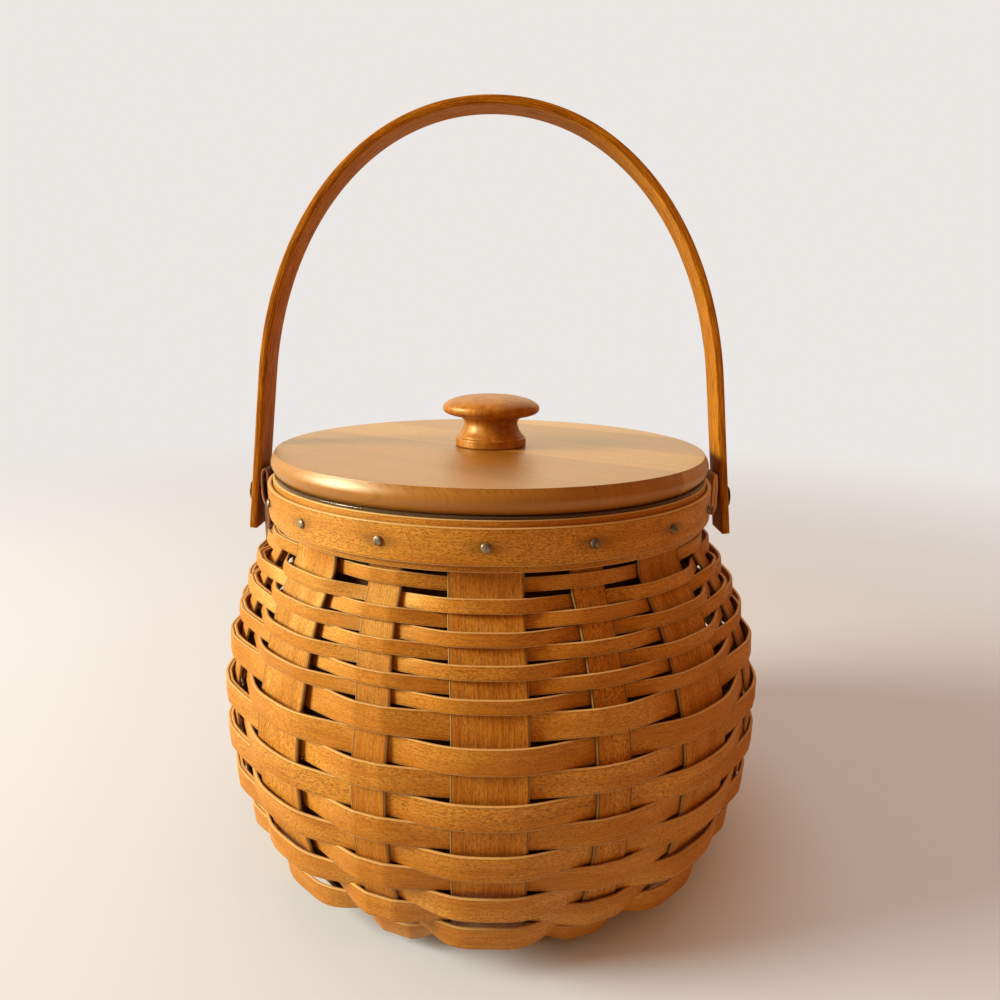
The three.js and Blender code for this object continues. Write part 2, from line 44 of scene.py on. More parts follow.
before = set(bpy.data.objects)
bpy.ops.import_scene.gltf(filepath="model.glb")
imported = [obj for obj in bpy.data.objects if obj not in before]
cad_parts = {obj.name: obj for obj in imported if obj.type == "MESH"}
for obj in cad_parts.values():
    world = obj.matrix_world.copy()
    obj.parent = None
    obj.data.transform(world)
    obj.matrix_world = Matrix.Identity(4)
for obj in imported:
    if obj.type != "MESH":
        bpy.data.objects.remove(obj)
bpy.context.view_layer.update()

MM = 0.001
UPRIGHTS = 16
NARROW_ROWS = 8
WIDE_ROWS = 14
LAP_STOPS = 3  # uprights at which a row lies double
GRAIN_STEP = 13 * MM  # how much further into the wood the grain of each next strip lies
RIM_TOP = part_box("rim_under_band")[1].z
BAND_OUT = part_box("rim_outer_band")[1].x
LINER_LOW, LINER_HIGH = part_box("liner")
LID_LOW, LID_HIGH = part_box("lid_board")
KNOB_LOW, KNOB_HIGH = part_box("lid_knob")
EAR_LOW, EAR_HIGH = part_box("ear_right")
TAB_END = EAR_LOW.z + 9.6 * MM  # the right ear's
FLAP_END = EAR_LOW.z - 2.4 * MM  # the left ear's
# Degrees by which uprights stand off their even spacing at the belly, as they do by hand
OFF_SPACING = {1: -1.2, 2: -2.0, 3: -1.0, 13: 1.0, 14: 2.1, 15: 1.7}


def linear(code):
    """An sRGB hex value as a linear RGBA colour."""
    parts = [int(code[k : k + 2], 16) / 255 for k in (0, 2, 4)]
    return (*[c / 12.92 if c <= 0.04045 else ((c + 0.055) / 1.055) ** 2.4 for c in parts], 1.0)


def length(name, description, default):
    """A size in metres with Blender's length unit."""
    return FloatProperty(name=name, description=description, default=default, unit="LENGTH")


def angle(name, description, degrees):
    """An angle with Blender's angle unit."""
    return FloatProperty(
        name=name, description=description, default=math.radians(degrees), subtype="ANGLE"
    )


def tone(name, description, code):
    """A colour property from its sRGB hex value."""
    return FloatVectorProperty(
        name=name, description=description, default=linear(code), subtype="COLOR", size=4
    )


class BasketWallSettings(bpy.types.PropertyGroup):
    """Half section of the woven wall, through the middle of the uprights."""

    base_radius: length("Base radius", "Where the wall starts to curve up", 0.0740)
    base_height: length("Base height", "Middle of the uprights over the table", 0.0021)
    belly_radius: length("Belly radius", "Widest radius of the wall", 0.1128)
    belly_height: length("Belly height", "Height of the widest place", 0.0715)
    shoulder_turn: angle("Shoulder turn", "Angle of the ellipse from belly to neck", 30)
    neck_flare: length("Neck flare", "Neck radius over the rim's", 0.0010)
    neck_height: length("Neck height", "Length of the curve from neck to rim", 0.0052)
    rim_radius: length("Rim radius", "Middle of the uprights at the rim", 0.0884)
    weave_top: length("Weave top", "Height at which the first row starts", 0.1438)
    weave_end: length("Weave end", "Radius at which the last row ends", 0.0629)
    drift: length("Drift", "How far the belly leans to one side, as woven by hand", 0.0023)


class BasketStripSettings(bpy.types.PropertyGroup):
    """Wood strips of the weave."""

    thickness: length("Thickness", "Thickness of uprights and weavers", 0.0012)
    wide_upright: length("Wide upright", "Width of the wide uprights", 0.0254)
    narrow_upright: length("Narrow upright", "Width of the narrow uprights", 0.0127)
    narrow_pitch: length("Narrow pitch", "Height that a narrow row takes", 0.0053)
    row_gap: length("Row gap", "Gap between two rows", 0.00025)
    seat: length("Seat", "Play between an upright and a weaver", 0.00012)
    upright_share: FloatProperty(
        name="Upright share",
        description="How much of the wall's slope a stiff row doesn't follow",
        default=0.8,
        subtype="FACTOR",
    )
    spring: FloatProperty(
        name="Spring",
        description="How far a row springs off an upright, by the upright's width",
        default=0.045,
    )
    dip: length("Dip", "How much lower a row runs behind an upright", 0.0007)
    sag: length("Sag", "How much lower a row runs over a wide upright", 0.0009)
    first_lift: length("First lift", "How far the first row is pushed up to the rim", 0.0013)
    wander: length("Wander", "How far a strip strays from its line", 0.00028)
    seed: IntProperty(name="Seed", description="Seed of the strips' small differences", default=7)


class BasketRimSettings(bpy.types.PropertyGroup):
    """Bands, tacks and liner at the rim."""

    under_thickness: length("Under band", "Thickness of the band on the uprights", 0.0016)
    outer_thickness: length("Outer band", "Thickness of the tacked band", 0.0018)
    inner_thickness: length("Inner band", "Thickness of the band inside", 0.0016)
    lap: length("Lap", "Length over which a band's ends overlap", 0.045)
    tack_radius: length("Tack radius", "Radius of a tack's head", 0.0018)
    tack_height: length("Tack height", "How far a tack's head stands out", 0.0009)
    liner_wall: length("Liner wall", "Thickness of the liner", 0.0012)


class BasketLidSettings(bpy.types.PropertyGroup):
    """Lid."""

    board_width: length("Board width", "Width of each glued board of the lid", 0.0396)
    board_turn: angle("Board turn", "Direction of the boards, from +X", -33)
    edge_round: length("Edge round", "How far the edge curls in at the top", 0.0017)


class BasketHandleSettings(bpy.types.PropertyGroup):
    """Handle, ears and rivets."""

    width: length("Width", "Width of the handle's strip", 0.0170)
    thickness: length("Thickness", "Thickness of the handle's strip", 0.0033)
    leg_length: length("Leg length", "Height of the straight legs", 0.0658)
    leg_lean: angle("Leg lean", "How far the legs lean in", 6.6)
    tab_width: length("Tab width", "Width of the right ear", 0.0150)
    tab_thickness: length("Tab thickness", "Thickness of the right ear's leather", 0.00115)
    flap_width: length("Flap width", "Width of the left ear", 0.0186)
    flap_thickness: length("Flap thickness", "Thickness of the left ear's leather", 0.0011)
    rivet_radius: length("Rivet radius", "Radius of a rivet's head", 0.0047)


class BasketColourSettings(bpy.types.PropertyGroup):
    """Colours of the finishes."""

    strip_dark: tone("Strip dark", "Darkest fibres of the weave", "904a08")
    strip_mid: tone("Strip middle", "Stain on most of the weave", "b96e0e")
    strip_light: tone("Strip light", "Palest fibres of the weave", "dca040")
    # Pale partly as a painted highlight, where the edges catch the light
    strip_edge_and_highlight: tone("Strip edge", "Cut edges, which take less stain", "f0cb8c")
    handle_dark: tone("Handle dark", "Darkest fibres of the handle", "84480c")
    handle_mid: tone("Handle middle", "Stain on most of the handle", "d6901e")
    handle_edge: tone("Handle edge", "Darker edges of the handle", "94540f")
    # Also the colour of painted shade along strip edges, under strips and below the lid's arris
    fleck_and_shade: tone("Fleck", "Dark flecks in the grain", "582804")
    board_dark: tone("Board dark", "Darker boards of the lid", "9c6118")
    board_light: tone("Board light", "Paler boards of the lid", "d29c46")
    knob: tone("Knob", "Stain on the knob", "bd7820")
    knob_dark: tone("Knob dark", "Darker growth bands of the knob", "925212")
    leather: tone("Leather", "Face of the left ear", "5c2e12")
    leather_worn: tone("Leather worn", "Worn and cut edges of the left ear", "8f5c38")
    leather_tan: tone("Leather tan", "Face of the right ear", "d89c46")
    leather_edge: tone("Leather edge", "Worn and cut edges of the right ear", "dcb284")
    tack: tone("Tack", "Dull metal of the tacks", "a8967c")
    tack_dark: tone("Tack dark", "Tarnish on the tacks", "4e4439")
    rivet: tone("Rivet", "Dark metal of the rivets", "6a4328")
    rivet_dark: tone("Rivet dark", "Tarnish on the rivets", "3a2416")
    liner: tone("Liner", "Tint of the clear liner", "b39470")
    # Painted shade: stands for the weave and the dark inside seen through the wall
    liner_inside_shade: tone("Liner inside", "What shows through the liner's wall", "a8683a")
    floor: tone("Floor", "Paint of the floor", "d0dae8")
    background: tone("Background", "What the camera sees behind it all", "ebe7e4")


SETTINGS = {
    "basket_wall": BasketWallSettings,
    "basket_strip": BasketStripSettings,
    "basket_rim": BasketRimSettings,
    "basket_lid": BasketLidSettings,
    "basket_handle": BasketHandleSettings,
    "basket_colour": BasketColourSettings,
}


def add(tree, kind, inputs=(), **settings):
    """Adds a node. Its inputs are given by name or in order, and a node stands for its output."""
    made = tree.nodes.new(kind)
    for key, value in settings.items():
        setattr(made, key, value)
    sockets = [s for s in made.inputs if s.enabled]
    if isinstance(inputs, dict):
        sockets = [next(s for s in sockets if s.name == key) for key in inputs]
        inputs = inputs.values()
    for socket, value in zip(sockets, inputs):
        if isinstance(value, bpy.types.Node):
            value = next(s for s in value.outputs if s.enabled)
        if isinstance(value, bpy.types.NodeSocket):
            tree.links.new(value, socket)
        else:
            socket.default_value = value
    return made


def new_tree(name, sizes):
    """A Geometry Nodes tree with named inputs, and what its group input gives."""
    tree = bpy.data.node_groups.new(name, "GeometryNodeTree")
    for key, kind in {"Geometry": "Geometry", **sizes, "Material": "Material"}.items():
        tree.interface.new_socket(key, in_out="INPUT", socket_type="NodeSocket" + kind)
    tree.interface.new_socket("Geometry", in_out="OUTPUT", socket_type="NodeSocketGeometry")
    return tree, tree.nodes.new("NodeGroupInput").outputs


def end_tree(tree, geometry, material):
    """Ends a tree with real geometry that has its material."""
    real = add(tree, "GeometryNodeRealizeInstances", {"Geometry": geometry})
    finished = add(tree, "GeometryNodeSetMaterial", {"Geometry": real, "Material": material})
    add(tree, "NodeGroupOutput", {"Geometry": finished})
    return tree


def strip_tree():
    """Sweeps a strip with rounded edges along a path, and stores its grain and edges."""
    sizes = dict.fromkeys(("Width", "Thickness", "Face Squareness", "Edge Squareness"), "Float")
    sizes |= {"Profile Points": "Int", "Wander": "Float", "Seed": "Int"}
    tree, get = new_tree("Bent Strip", sizes)
    maths, combine, separate = "ShaderNodeMath", "ShaderNodeCombineXYZ", "ShaderNodeSeparateXYZ"
    attribute, store = "GeometryNodeInputNamedAttribute", "GeometryNodeStoreNamedAttribute"
    vector = {"data_type": "FLOAT_VECTOR"}

    # Path: a polyline that keeps its outward direction, strayed a little in waves of 40 mm
    lay = add(tree, attribute, {"Name": "lay"}, **vector)
    along = add(tree, attribute, {"Name": "along"}, data_type="FLOAT")
    lot = add(tree, maths, (get["Seed"], 0.37), operation="MULTIPLY")
    place = add(tree, combine, (along, lot))
    sway = add(tree, "ShaderNodeTexNoise", {"Vector": place, "Scale": 26.0, "Detail": 1.0})
    centred = add(tree, maths, (sway, 0.5), operation="SUBTRACT")
    stray = add(tree, maths, (centred, get["Wander"]), operation="MULTIPLY")
    push = add(tree, "ShaderNodeVectorMath", (lay, stray), operation="SCALE")
    line = add(tree, "GeometryNodeMeshToCurve", {"Mesh": get["Geometry"]})
    moved = add(tree, "GeometryNodeSetPosition", {"Geometry": line, "Offset": push})
    faced = add(tree, "GeometryNodeSetCurveNormal", {"Curve": moved, "Normal": lay}, mode="FREE")

    # Profile: a circle squared up to the strip's thickness and width
    points = {"Resolution": get["Profile Points"], "Radius": 1.0}
    circle = add(tree, "GeometryNodeCurvePrimitiveCircle", points)
    at = add(tree, separate, (add(tree, "GeometryNodeInputPosition"),)).outputs
    half_depth, half_width = (
        add(tree, maths, (get[key], 0.5), operation="MULTIPLY") for key in ("Thickness", "Width")
    )
    sides = []
    for axis, key, half in (("Y", "Edge", half_depth), ("X", "Face", half_width)):
        power = add(tree, maths, (2.0, get[key + " Squareness"]), operation="DIVIDE")
        size = add(tree, maths, (at[axis],), operation="ABSOLUTE")
        squared = add(tree, maths, (size, power), operation="POWER")
        sign = add(tree, maths, (at[axis],), operation="SIGN")
        signed = add(tree, maths, (squared, sign), operation="MULTIPLY")
        sides.append(add(tree, maths, (signed, half), operation="MULTIPLY"))
    spot = add(tree, combine, sides)
    section = {"Geometry": circle, "Name": "section", "Value": spot}
    marked = add(tree, store, section, domain="POINT", **vector)
    shaped = add(tree, "GeometryNodeSetPosition", {"Geometry": marked, "Position": spot})
    sweep = {"Curve": faced, "Profile Curve": shaped, "Fill Caps": True}
    strip = add(tree, "GeometryNodeCurveToMesh", sweep)

    # Grain coordinates in metres: along, across, and through the strip from its own start
    cut = add(tree, separate, (add(tree, attribute, {"Name": "section"}, **vector),)).outputs
    start = add(tree, maths, (get["Seed"], GRAIN_STEP), operation="MULTIPLY")
    through = add(tree, maths, (cut["X"], start), operation="ADD")
    grain = add(tree, combine, (along, cut["Y"], through))
    from_middle = add(tree, maths, (cut["Y"],), operation="ABSOLUTE")
    to_edge = add(tree, maths, (half_width, from_middle), operation="SUBTRACT")
    for key, value, kind in (("grain", grain, "FLOAT_VECTOR"), ("to_edge", to_edge, "FLOAT")):
        given = {"Geometry": strip, "Name": key, "Value": value}
        strip = add(tree, store, given, data_type=kind, domain="POINT")

    # Smooth along the strip, crisp at its cut ends
    turn = add(tree, "GeometryNodeInputMeshEdgeAngle")
    steep = add(
        tree,
        "FunctionNodeCompare",
        {"A": turn, "B": math.radians(62)},
        data_type="FLOAT",
        operation="GREATER_THAN",
    )
    smooth = add(tree, "GeometryNodeSetShadeSmooth", {"Geometry": strip})
    ends = {"Geometry": smooth, "Selection": steep, "Shade Smooth": False}
    crisp = add(tree, "GeometryNodeSetShadeSmooth", ends, domain="EDGE")
    return end_tree(tree, crisp, get["Material"])


def head_tree():
    """Puts a domed metal head on every point, facing out, each a little different."""
    sizes = {"Radius": "Float", "Height": "Float", "Tilt": "Float", "Seed": "Int"}
    tree, get = new_tree("Tack Heads", sizes)
    maths, combine, random = "ShaderNodeMath", "ShaderNodeCombineXYZ", "FunctionNodeRandomValue"
    vector = {"data_type": "FLOAT_VECTOR"}
    ball = add(tree, "GeometryNodeMeshUVSphere", {"Segments": 24, "Rings": 12, "Radius": 1.0})
    place = add(tree, "GeometryNodeInputPosition")
    at = add(tree, "ShaderNodeSeparateXYZ", (place,)).outputs

    # The top of the dome is hammered flatter, and the half under it is a shallow seat
    high = add(tree, maths, (at["Z"], 0.0), operation="MAXIMUM")
    dome = add(tree, maths, (high, 0.7), operation="POWER")
    low = add(tree, maths, (at["Z"], 0.0), operation="MINIMUM")
    seat = add(tree, maths, (low, 0.35), operation="MULTIPLY")
    both = add(tree, maths, (dome, seat), operation="ADD")
    pairs = ((at["X"], get["Radius"]), (at["Y"], get["Radius"]), (both, get["Height"]))
    spot = add(tree, combine, [add(tree, maths, pair, operation="MULTIPLY") for pair in pairs])
    head = add(tree, "GeometryNodeSetPosition", {"Geometry": ball, "Position": spot})
    smooth = add(tree, "GeometryNodeSetShadeSmooth", {"Geometry": head})

    # Each head faces out, tilts a little, and is spun and sized by its own lot
    lay = add(tree, "GeometryNodeInputNamedAttribute", {"Name": "lay"}, **vector)
    facing = add(tree, "FunctionNodeAlignRotationToVector", {"Vector": lay}, axis="Z")
    tilt = get["Tilt"]
    below = add(tree, maths, (tilt, -1.0), operation="MULTIPLY")
    least = add(tree, combine, (below, below, -math.pi))
    most = add(tree, combine, (tilt, tilt, math.pi))
    spin = add(tree, random, {"Min": least, "Max": most, "Seed": get["Seed"]}, **vector)
    euler = add(tree, "FunctionNodeEulerToRotation", {"Euler": spin})
    turns = {"Rotation": facing, "Rotate By": euler}
    turned = add(tree, "FunctionNodeRotateRotation", turns, rotation_space="LOCAL")
    other = add(tree, maths, (get["Seed"], 3.0), operation="ADD")
    range_of_sizes = {"Min": (0.92, 0.92, 0.8), "Max": (1.05, 1.05, 1.1), "Seed": other}
    size = add(tree, random, range_of_sizes, **vector)
    given = {"Points": get["Geometry"], "Instance": smooth, "Rotation": turned, "Scale": size}
    heads = add(tree, "GeometryNodeInstanceOnPoints", given)
    return end_tree(tree, heads, get["Material"])


def new_object(name, data):
    """Links a new object to the scene."""
    made = bpy.data.objects.new(name, data)
    bpy.context.scene.collection.objects.link(made)
    return made


def settle(piece, body, slot, nodes):
    """Ties a finished piece to its body and hides the frame's nodes."""
    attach(piece, body)
    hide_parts(*nodes)


def grow(name, mesh, tree, inputs, ties, reshape=None):
    """Runs a Geometry Nodes tree on a mesh and keeps the result as a plain piece."""
    piece = new_object(name, mesh)
    modifier = piece.modifiers.new(tree.name, "NODES")
    modifier.node_group = tree
    keys = {s.name: s.identifier for s in tree.interface.items_tree if s.in_out == "INPUT"}
    for key, value in inputs.items():
        modifier[keys[key]] = value
    graph = bpy.context.evaluated_depsgraph_get()
    made = bpy.data.meshes.new_from_object(
        piece.evaluated_get(graph), preserve_all_data_layers=True, depsgraph=graph
    )
    piece.modifiers.clear()
    piece.data = made
    made.name = name
    bpy.data.meshes.remove(mesh)
    if reshape:
        spots = np.empty(len(made.vertices) * 3)
        made.vertices.foreach_get("co", spots)
        made.vertices.foreach_set("co", reshape(spots.reshape(-1, 3)).ravel())
        made.update()
    settle(piece, *ties)


def bend_strip(name, path, width, thickness, material, ties, inputs, reshape=None):
    """One strip of wood or leather on a path: a line, and the direction its face looks in."""
    line, lay = path
    mesh = bpy.data.meshes.new(name + "_path")
    mesh.from_pydata(line.tolist(), [(k, k + 1) for k in range(len(line) - 1)], [])
    mesh.attributes.new("along", "FLOAT", "POINT").data.foreach_set("value", distances(line))
    facing = mesh.attributes.new("lay", "FLOAT_VECTOR", "POINT")
    facing.data.foreach_set("vector", lay.ravel())
    usual = {
        "Width": width,
        "Thickness": thickness,
        "Face Squareness": min(16.0 * (width / 0.009) ** 0.6, 30.0),
        "Edge Squareness": 7.0,
        "Profile Points": 24,
        "Wander": 0.0,
        "Material": material,
    }
    tree = bpy.data.node_groups.get("Bent Strip") or strip_tree()
    grow(name, mesh, tree, usual | inputs, ties, reshape)


def turn_piece(name, profile, segments, material, ties, sharp=40, place=Matrix.Identity(4)):
    """A solid of revolution about Z from a half section that starts and ends on the axis."""
    turn = np.arange(segments) * 2 * math.pi / segments
    points, rings = [], []
    for r, z in profile:
        if r < 1e-7:
            rings.append([len(points)])
            points.append((0.0, 0.0, z))
            continue
        rings.append(list(range(len(points), len(points) + segments)))
        points += [(r * math.sin(a), -r * math.cos(a), z) for a in turn]
    faces = []
    for low, high in zip(rings, rings[1:]):
        for j in range(segments):
            n = (j + 1) % segments
            if len(low) == 1 and len(high) > 1:
                faces.append((low[0], high[j], high[n]))
            elif len(high) == 1 and len(low) > 1:
                faces.append((low[j], high[0], low[n]))
            elif len(low) > 1:
                faces.append((low[j], high[j], high[n], low[n]))
    mesh = bpy.data.meshes.new(name)
    mesh.from_pydata(points, [], faces)
    mesh.validate()
    mesh.shade_smooth()
    mesh.set_sharp_from_angle(angle=math.radians(sharp))
    mesh.materials.append(material)
    mesh.transform(place)
    work = bmesh.new()
    work.from_mesh(mesh)
    bmesh.ops.remove_doubles(work, verts=work.verts, dist=1e-6)
    bmesh.ops.recalc_face_normals(work, faces=work.faces)
    work.to_mesh(mesh)
    work.free()
    settle(new_object(name, mesh), *ties)


def distances(line):
    """How far along a line each of its points is."""
    return np.concatenate([[0.0], np.cumsum(np.linalg.norm(np.diff(line, axis=0), axis=1))])


def directions(line):
    """Unit directions along a line."""
    run = np.gradient(line, axis=0)
    return run / np.linalg.norm(run, axis=1)[:, None]


def eased(share):
    """A share from 0 to 1 that starts and ends gently."""
    share = np.clip(share, 0, 1)
    return share * share * (3 - 2 * share)


def smoothed(line, passes):
    """A line with its bends eased, ends kept."""
    line = line.copy()
    for _ in range(passes):
        line[1:-1] = (line[:-2] + 2 * line[1:-1] + line[2:]) / 4
    return line


def resampled(line, step):
    """Points at an even step along a line."""
    at = distances(line)
    wanted = np.linspace(0.0, at[-1], max(int(at[-1] / step), 2) + 1)
    return np.stack([np.interp(wanted, at, line[:, k]) for k in range(line.shape[1])], 1)


def arc(middle, radii, start, end, steps):
    """Points of an ellipse between two angles."""
    turn = np.linspace(start, end, steps)
    return np.stack([middle[0] + radii[0] * np.cos(turn), middle[1] + radii[1] * np.sin(turn)], 1)


def hermite(points, tangents, steps):
    """A smooth line through points with a direction at each one."""
    line = []
    for k, count in enumerate(steps):
        span = np.linalg.norm((points[k + 1] - points[k])[:3])
        for t in np.arange(count) / count:
            line.append(
                (2 * t**3 - 3 * t**2 + 1) * points[k]
                + (t**3 - 2 * t**2 + t) * span * tangents[k]
                + (3 * t**2 - 2 * t**3) * points[k + 1]
                + (t**3 - t**2) * span * tangents[k + 1]
            )
    return np.array([*line, points[-1]])


def smooth_profile(points, steps):
    """A smooth line through profile points, by Catmull-Rom."""
    points = [np.array(p) for p in points]
    padded = [2 * points[0] - points[1], *points, 2 * points[-1] - points[-2]]
    line = []
    for k in range(1, len(padded) - 2):
        a, b, c, d = padded[k - 1 : k + 3]
        for t in np.arange(steps) / steps:
            bend = (2 * a - 5 * b + 4 * c - d) * t**2 + (3 * b - a - 3 * c + d) * t**3
            line.append(tuple(0.5 * (2 * b + (c - a) * t + bend)))
    return [*line, tuple(points[-1])]


def eased_corners(corners, steps=6):
    """A line through corners (x, z, radius), each rounded by its own radius."""
    line = []
    for k, (x, z, radius) in enumerate(corners):
        point = Vector((x, z))
        if not radius or k in (0, len(corners) - 1):
            line.append(tuple(point))
            continue
        back = Vector(corners[k - 1][:2]) - point
        ahead = Vector(corners[k + 1][:2]) - point
        reach = min(radius, back.length * 0.49, ahead.length * 0.49)
        start = point + back.normalized() * reach
        end = point + ahead.normalized() * reach
        for t in np.linspace(0, 1, steps + 1):
            line.append(tuple(start * (1 - t) ** 2 + point * 2 * t * (1 - t) + end * t * t))
    return line


def placed(points, radius, height):
    """Profile points in mm from a place, as metres."""
    return [(radius + r * MM, height + z * MM) for r, z in points]


def in_plane(flat, side, facing):
    """A line in the XZ plane on one side of the basket, and the directions square to it."""
    run = directions(flat)
    still = np.zeros(len(flat))
    line = np.stack([side * flat[:, 0], still, flat[:, 1]], 1)
    return line, facing * np.stack([side * run[:, 1], still, -run[:, 0]], 1)


class Wall:
    """The basket's wall as points by their distance down from the top of the weave."""

    def __init__(self, scene):
        wall = scene.basket_wall
        self.top, self.lean_out = wall.weave_top, wall.drift
        self.rim_radius, self.base_height = wall.rim_radius, wall.base_height
        turn = wall.shoulder_turn
        neck_r = wall.rim_radius + wall.neck_flare
        neck_z = wall.weave_top - wall.neck_height
        deep = (wall.belly_radius - neck_r) / (1 - math.cos(turn))
        high = (neck_z - wall.belly_height) / math.sin(turn)
        pull = min(wall.neck_flare * high / (deep * math.tan(turn)), wall.neck_height)
        share = np.linspace(0, 1, 24)[:, None]
        neck = (
            (1 - share) ** 2 * np.array([wall.rim_radius, wall.weave_top])
            + 2 * share * (1 - share) * np.array([wall.rim_radius, neck_z + pull])
            + share**2 * np.array([neck_r, neck_z])
        )
        middle = (wall.belly_radius - deep, wall.belly_height)
        shoulder = arc(middle, (deep, high), turn, 0.0, 90)
        radii = (wall.belly_radius - wall.base_radius, wall.base_height - wall.belly_height)
        belly = arc((wall.base_radius, wall.belly_height), radii, 0.0, math.pi / 2, 140)
        base = [[wall.weave_end, wall.base_height]]
        self.line = np.vstack([neck, shoulder[1:], belly[1:], base])
        self.down = distances(self.line)
        self.length = self.down[-1]
        narrow = scene.basket_strip.narrow_pitch
        wide = (self.length - NARROW_ROWS * narrow) / WIDE_ROWS
        self.edges = np.cumsum([0.0, *[narrow] * NARROW_ROWS, *[wide] * WIDE_ROWS])

    def drift(self, height):
        """How far the wall stands to one side at a height: nothing at the rim."""
        return self.lean_out * eased((self.top - height) / (50 * MM))

    def at(self, down):
        """Radius, height and the outward normal's slope at a distance down the wall."""
        near = 0.4 * MM
        spot, before, after = (
            np.array([np.interp(down + d, self.down, self.line[:, k]) for k in (0, 1)])
            for d in (0.0, -near, near)
        )
        run = after - before
        return *spot, math.atan2(run[0], -run[1])


def upright_frame(k, loose=0.0):
    """Outward and sideways directions of an upright, counted from the front towards +X."""
    turn = k * 2 * math.pi / UPRIGHTS + loose * math.radians(OFF_SPACING.get(k % UPRIGHTS, 0.0))
    out = np.array([math.sin(turn), -math.cos(turn), 0.0])
    return out, np.array([math.cos(turn), math.sin(turn), 0.0])


def looseness(height, radius):
    """How far an upright may stray at a height: not at the rim, and not under the base."""
    below_rim = eased((142 * MM - height) / (45 * MM))
    return below_rim * np.clip((radius - 55 * MM) / (30 * MM), 0, 1)


def seat_x(radius, width):
    """How far out a flat strip stands with its edges on a circle."""
    return math.sqrt(radius * radius - width * width / 4)


def row_stops(wall, strip, row, rng):
    """How one row passes each upright: its points with their slopes, directions, and width.

    It starts and ends behind an upright, at the left, and lies double at LAP_STOPS of them.
    """
    top = wall.edges[row] + strip.row_gap / 2
    bottom = wall.edges[row + 1] - strip.row_gap / 2
    radius, height, slope = wall.at((top + bottom) / 2)
    width = bottom - top
    # A straight strip stays nearly upright outside, and lies down where the wall turns under
    under = (-slope - math.radians(32)) / math.radians(30)
    most = strip.upright_share * slope * (1 - eased(under))
    over = 1 - np.clip(under, 0, 1)
    first = 11 if row % 2 else 12
    points, tangents, shares = [], [], []
    for turn in range(UPRIGHTS + LAP_STOPS):
        k = first + turn
        out, side = upright_frame(k, looseness(height, radius))
        outside = (row + 1 + k) % 2 == 0
        wide = k % 2 == 0
        upright = strip.wide_upright if wide else strip.narrow_upright
        # The folded handle rests on the fifth row beside the ears and has pressed it flatter
        pressed = row == 4 and k % 8 in (3, 5)
        lean = most * (0.5 if pressed else 1.0) if outside else most * 0.25
        stand = slope - lean
        away = (strip.thickness + strip.seat) / math.cos(lean)
        away += width / 2 * abs(math.tan(lean))
        if turn < LAP_STOPS and not outside or turn >= UPRIGHTS and outside:
            away += strip.thickness * 1.06
        # Hand work leaves each crossing a little off, in depth and in height
        away += rng.uniform(-0.15, 0.15) * MM
        shift = rng.uniform(-0.2, 0.2) * MM
        sign = 1 if outside else -1
        normal = out * math.cos(stand) + np.array([0, 0, math.sin(stand)])
        up = np.array([0, 0, math.cos(stand)]) - out * math.sin(stand)
        seat = out * seat_x(radius, upright) + np.array([wall.drift(height), 0, height])
        shift -= (0 if outside else strip.dip) - (strip.first_lift if row == 0 else 0)
        if wide:
            shift -= strip.sag * over * (1 if outside else 0.35)
        middle = seat + normal * away * sign + up * shift
        bow = upright * strip.spring * over * sign
        # A row arches over a wide upright, and lies flat on a narrow one with a bend at each edge
        for share in (-0.5, 0.0, 0.5) if wide else (-0.5, -0.32, 0.32, 0.5):
            spot = middle + side * share * upright + normal * bow * (1 - 4 * share * share)
            points.append(np.append(spot, stand))
            shares.append(share)
            tangents.append(np.append(side, 0.0))
    return points, tangents, shares, width


def weaver_path(wall, strip, row, rng):
    """Path and width of one row of the weave."""
    points, tangents, shares, width = row_stops(wall, strip, row, rng)
    # At the edges of an upright the row already turns to the next point
    for j, share in enumerate(shares):
        ahead = 1 if share > 0 else -1
        if abs(share) < 0.5 or not 0 <= j + ahead < len(points):
            continue
        gap = (points[j + ahead] - points[j])[:3]
        turned = tangents[j][:3] * 0.35 + gap / np.linalg.norm(gap) * ahead * 0.65
        tangents[j][:3] = turned / np.linalg.norm(turned)
    steps = [9 if share == 0.5 else 4 for share in shares[:-1]]
    line = hermite(points[1:-1], tangents[1:-1], steps[1:-1])
    line, slopes = line[:, :3], line[:, 3]
    # No row reaches below the table
    reach = strip.thickness * abs(np.sin(slopes)) + width * np.cos(slopes)
    line[:, 2] = np.maximum(line[:, 2], reach / 2 + 0.1 * MM)
    # The face looks out, square to the line, and is turned up from level by the slope
    run = directions(line * (1, 1, 0))
    level = np.stack([run[:, 1], -run[:, 0], np.zeros(len(run))], 1)
    level *= np.sign(np.sum(level * line, axis=1))[:, None]
    lay = level * np.cos(slopes)[:, None]
    lay[:, 2] = np.sin(slopes)
    return (line, lay), width


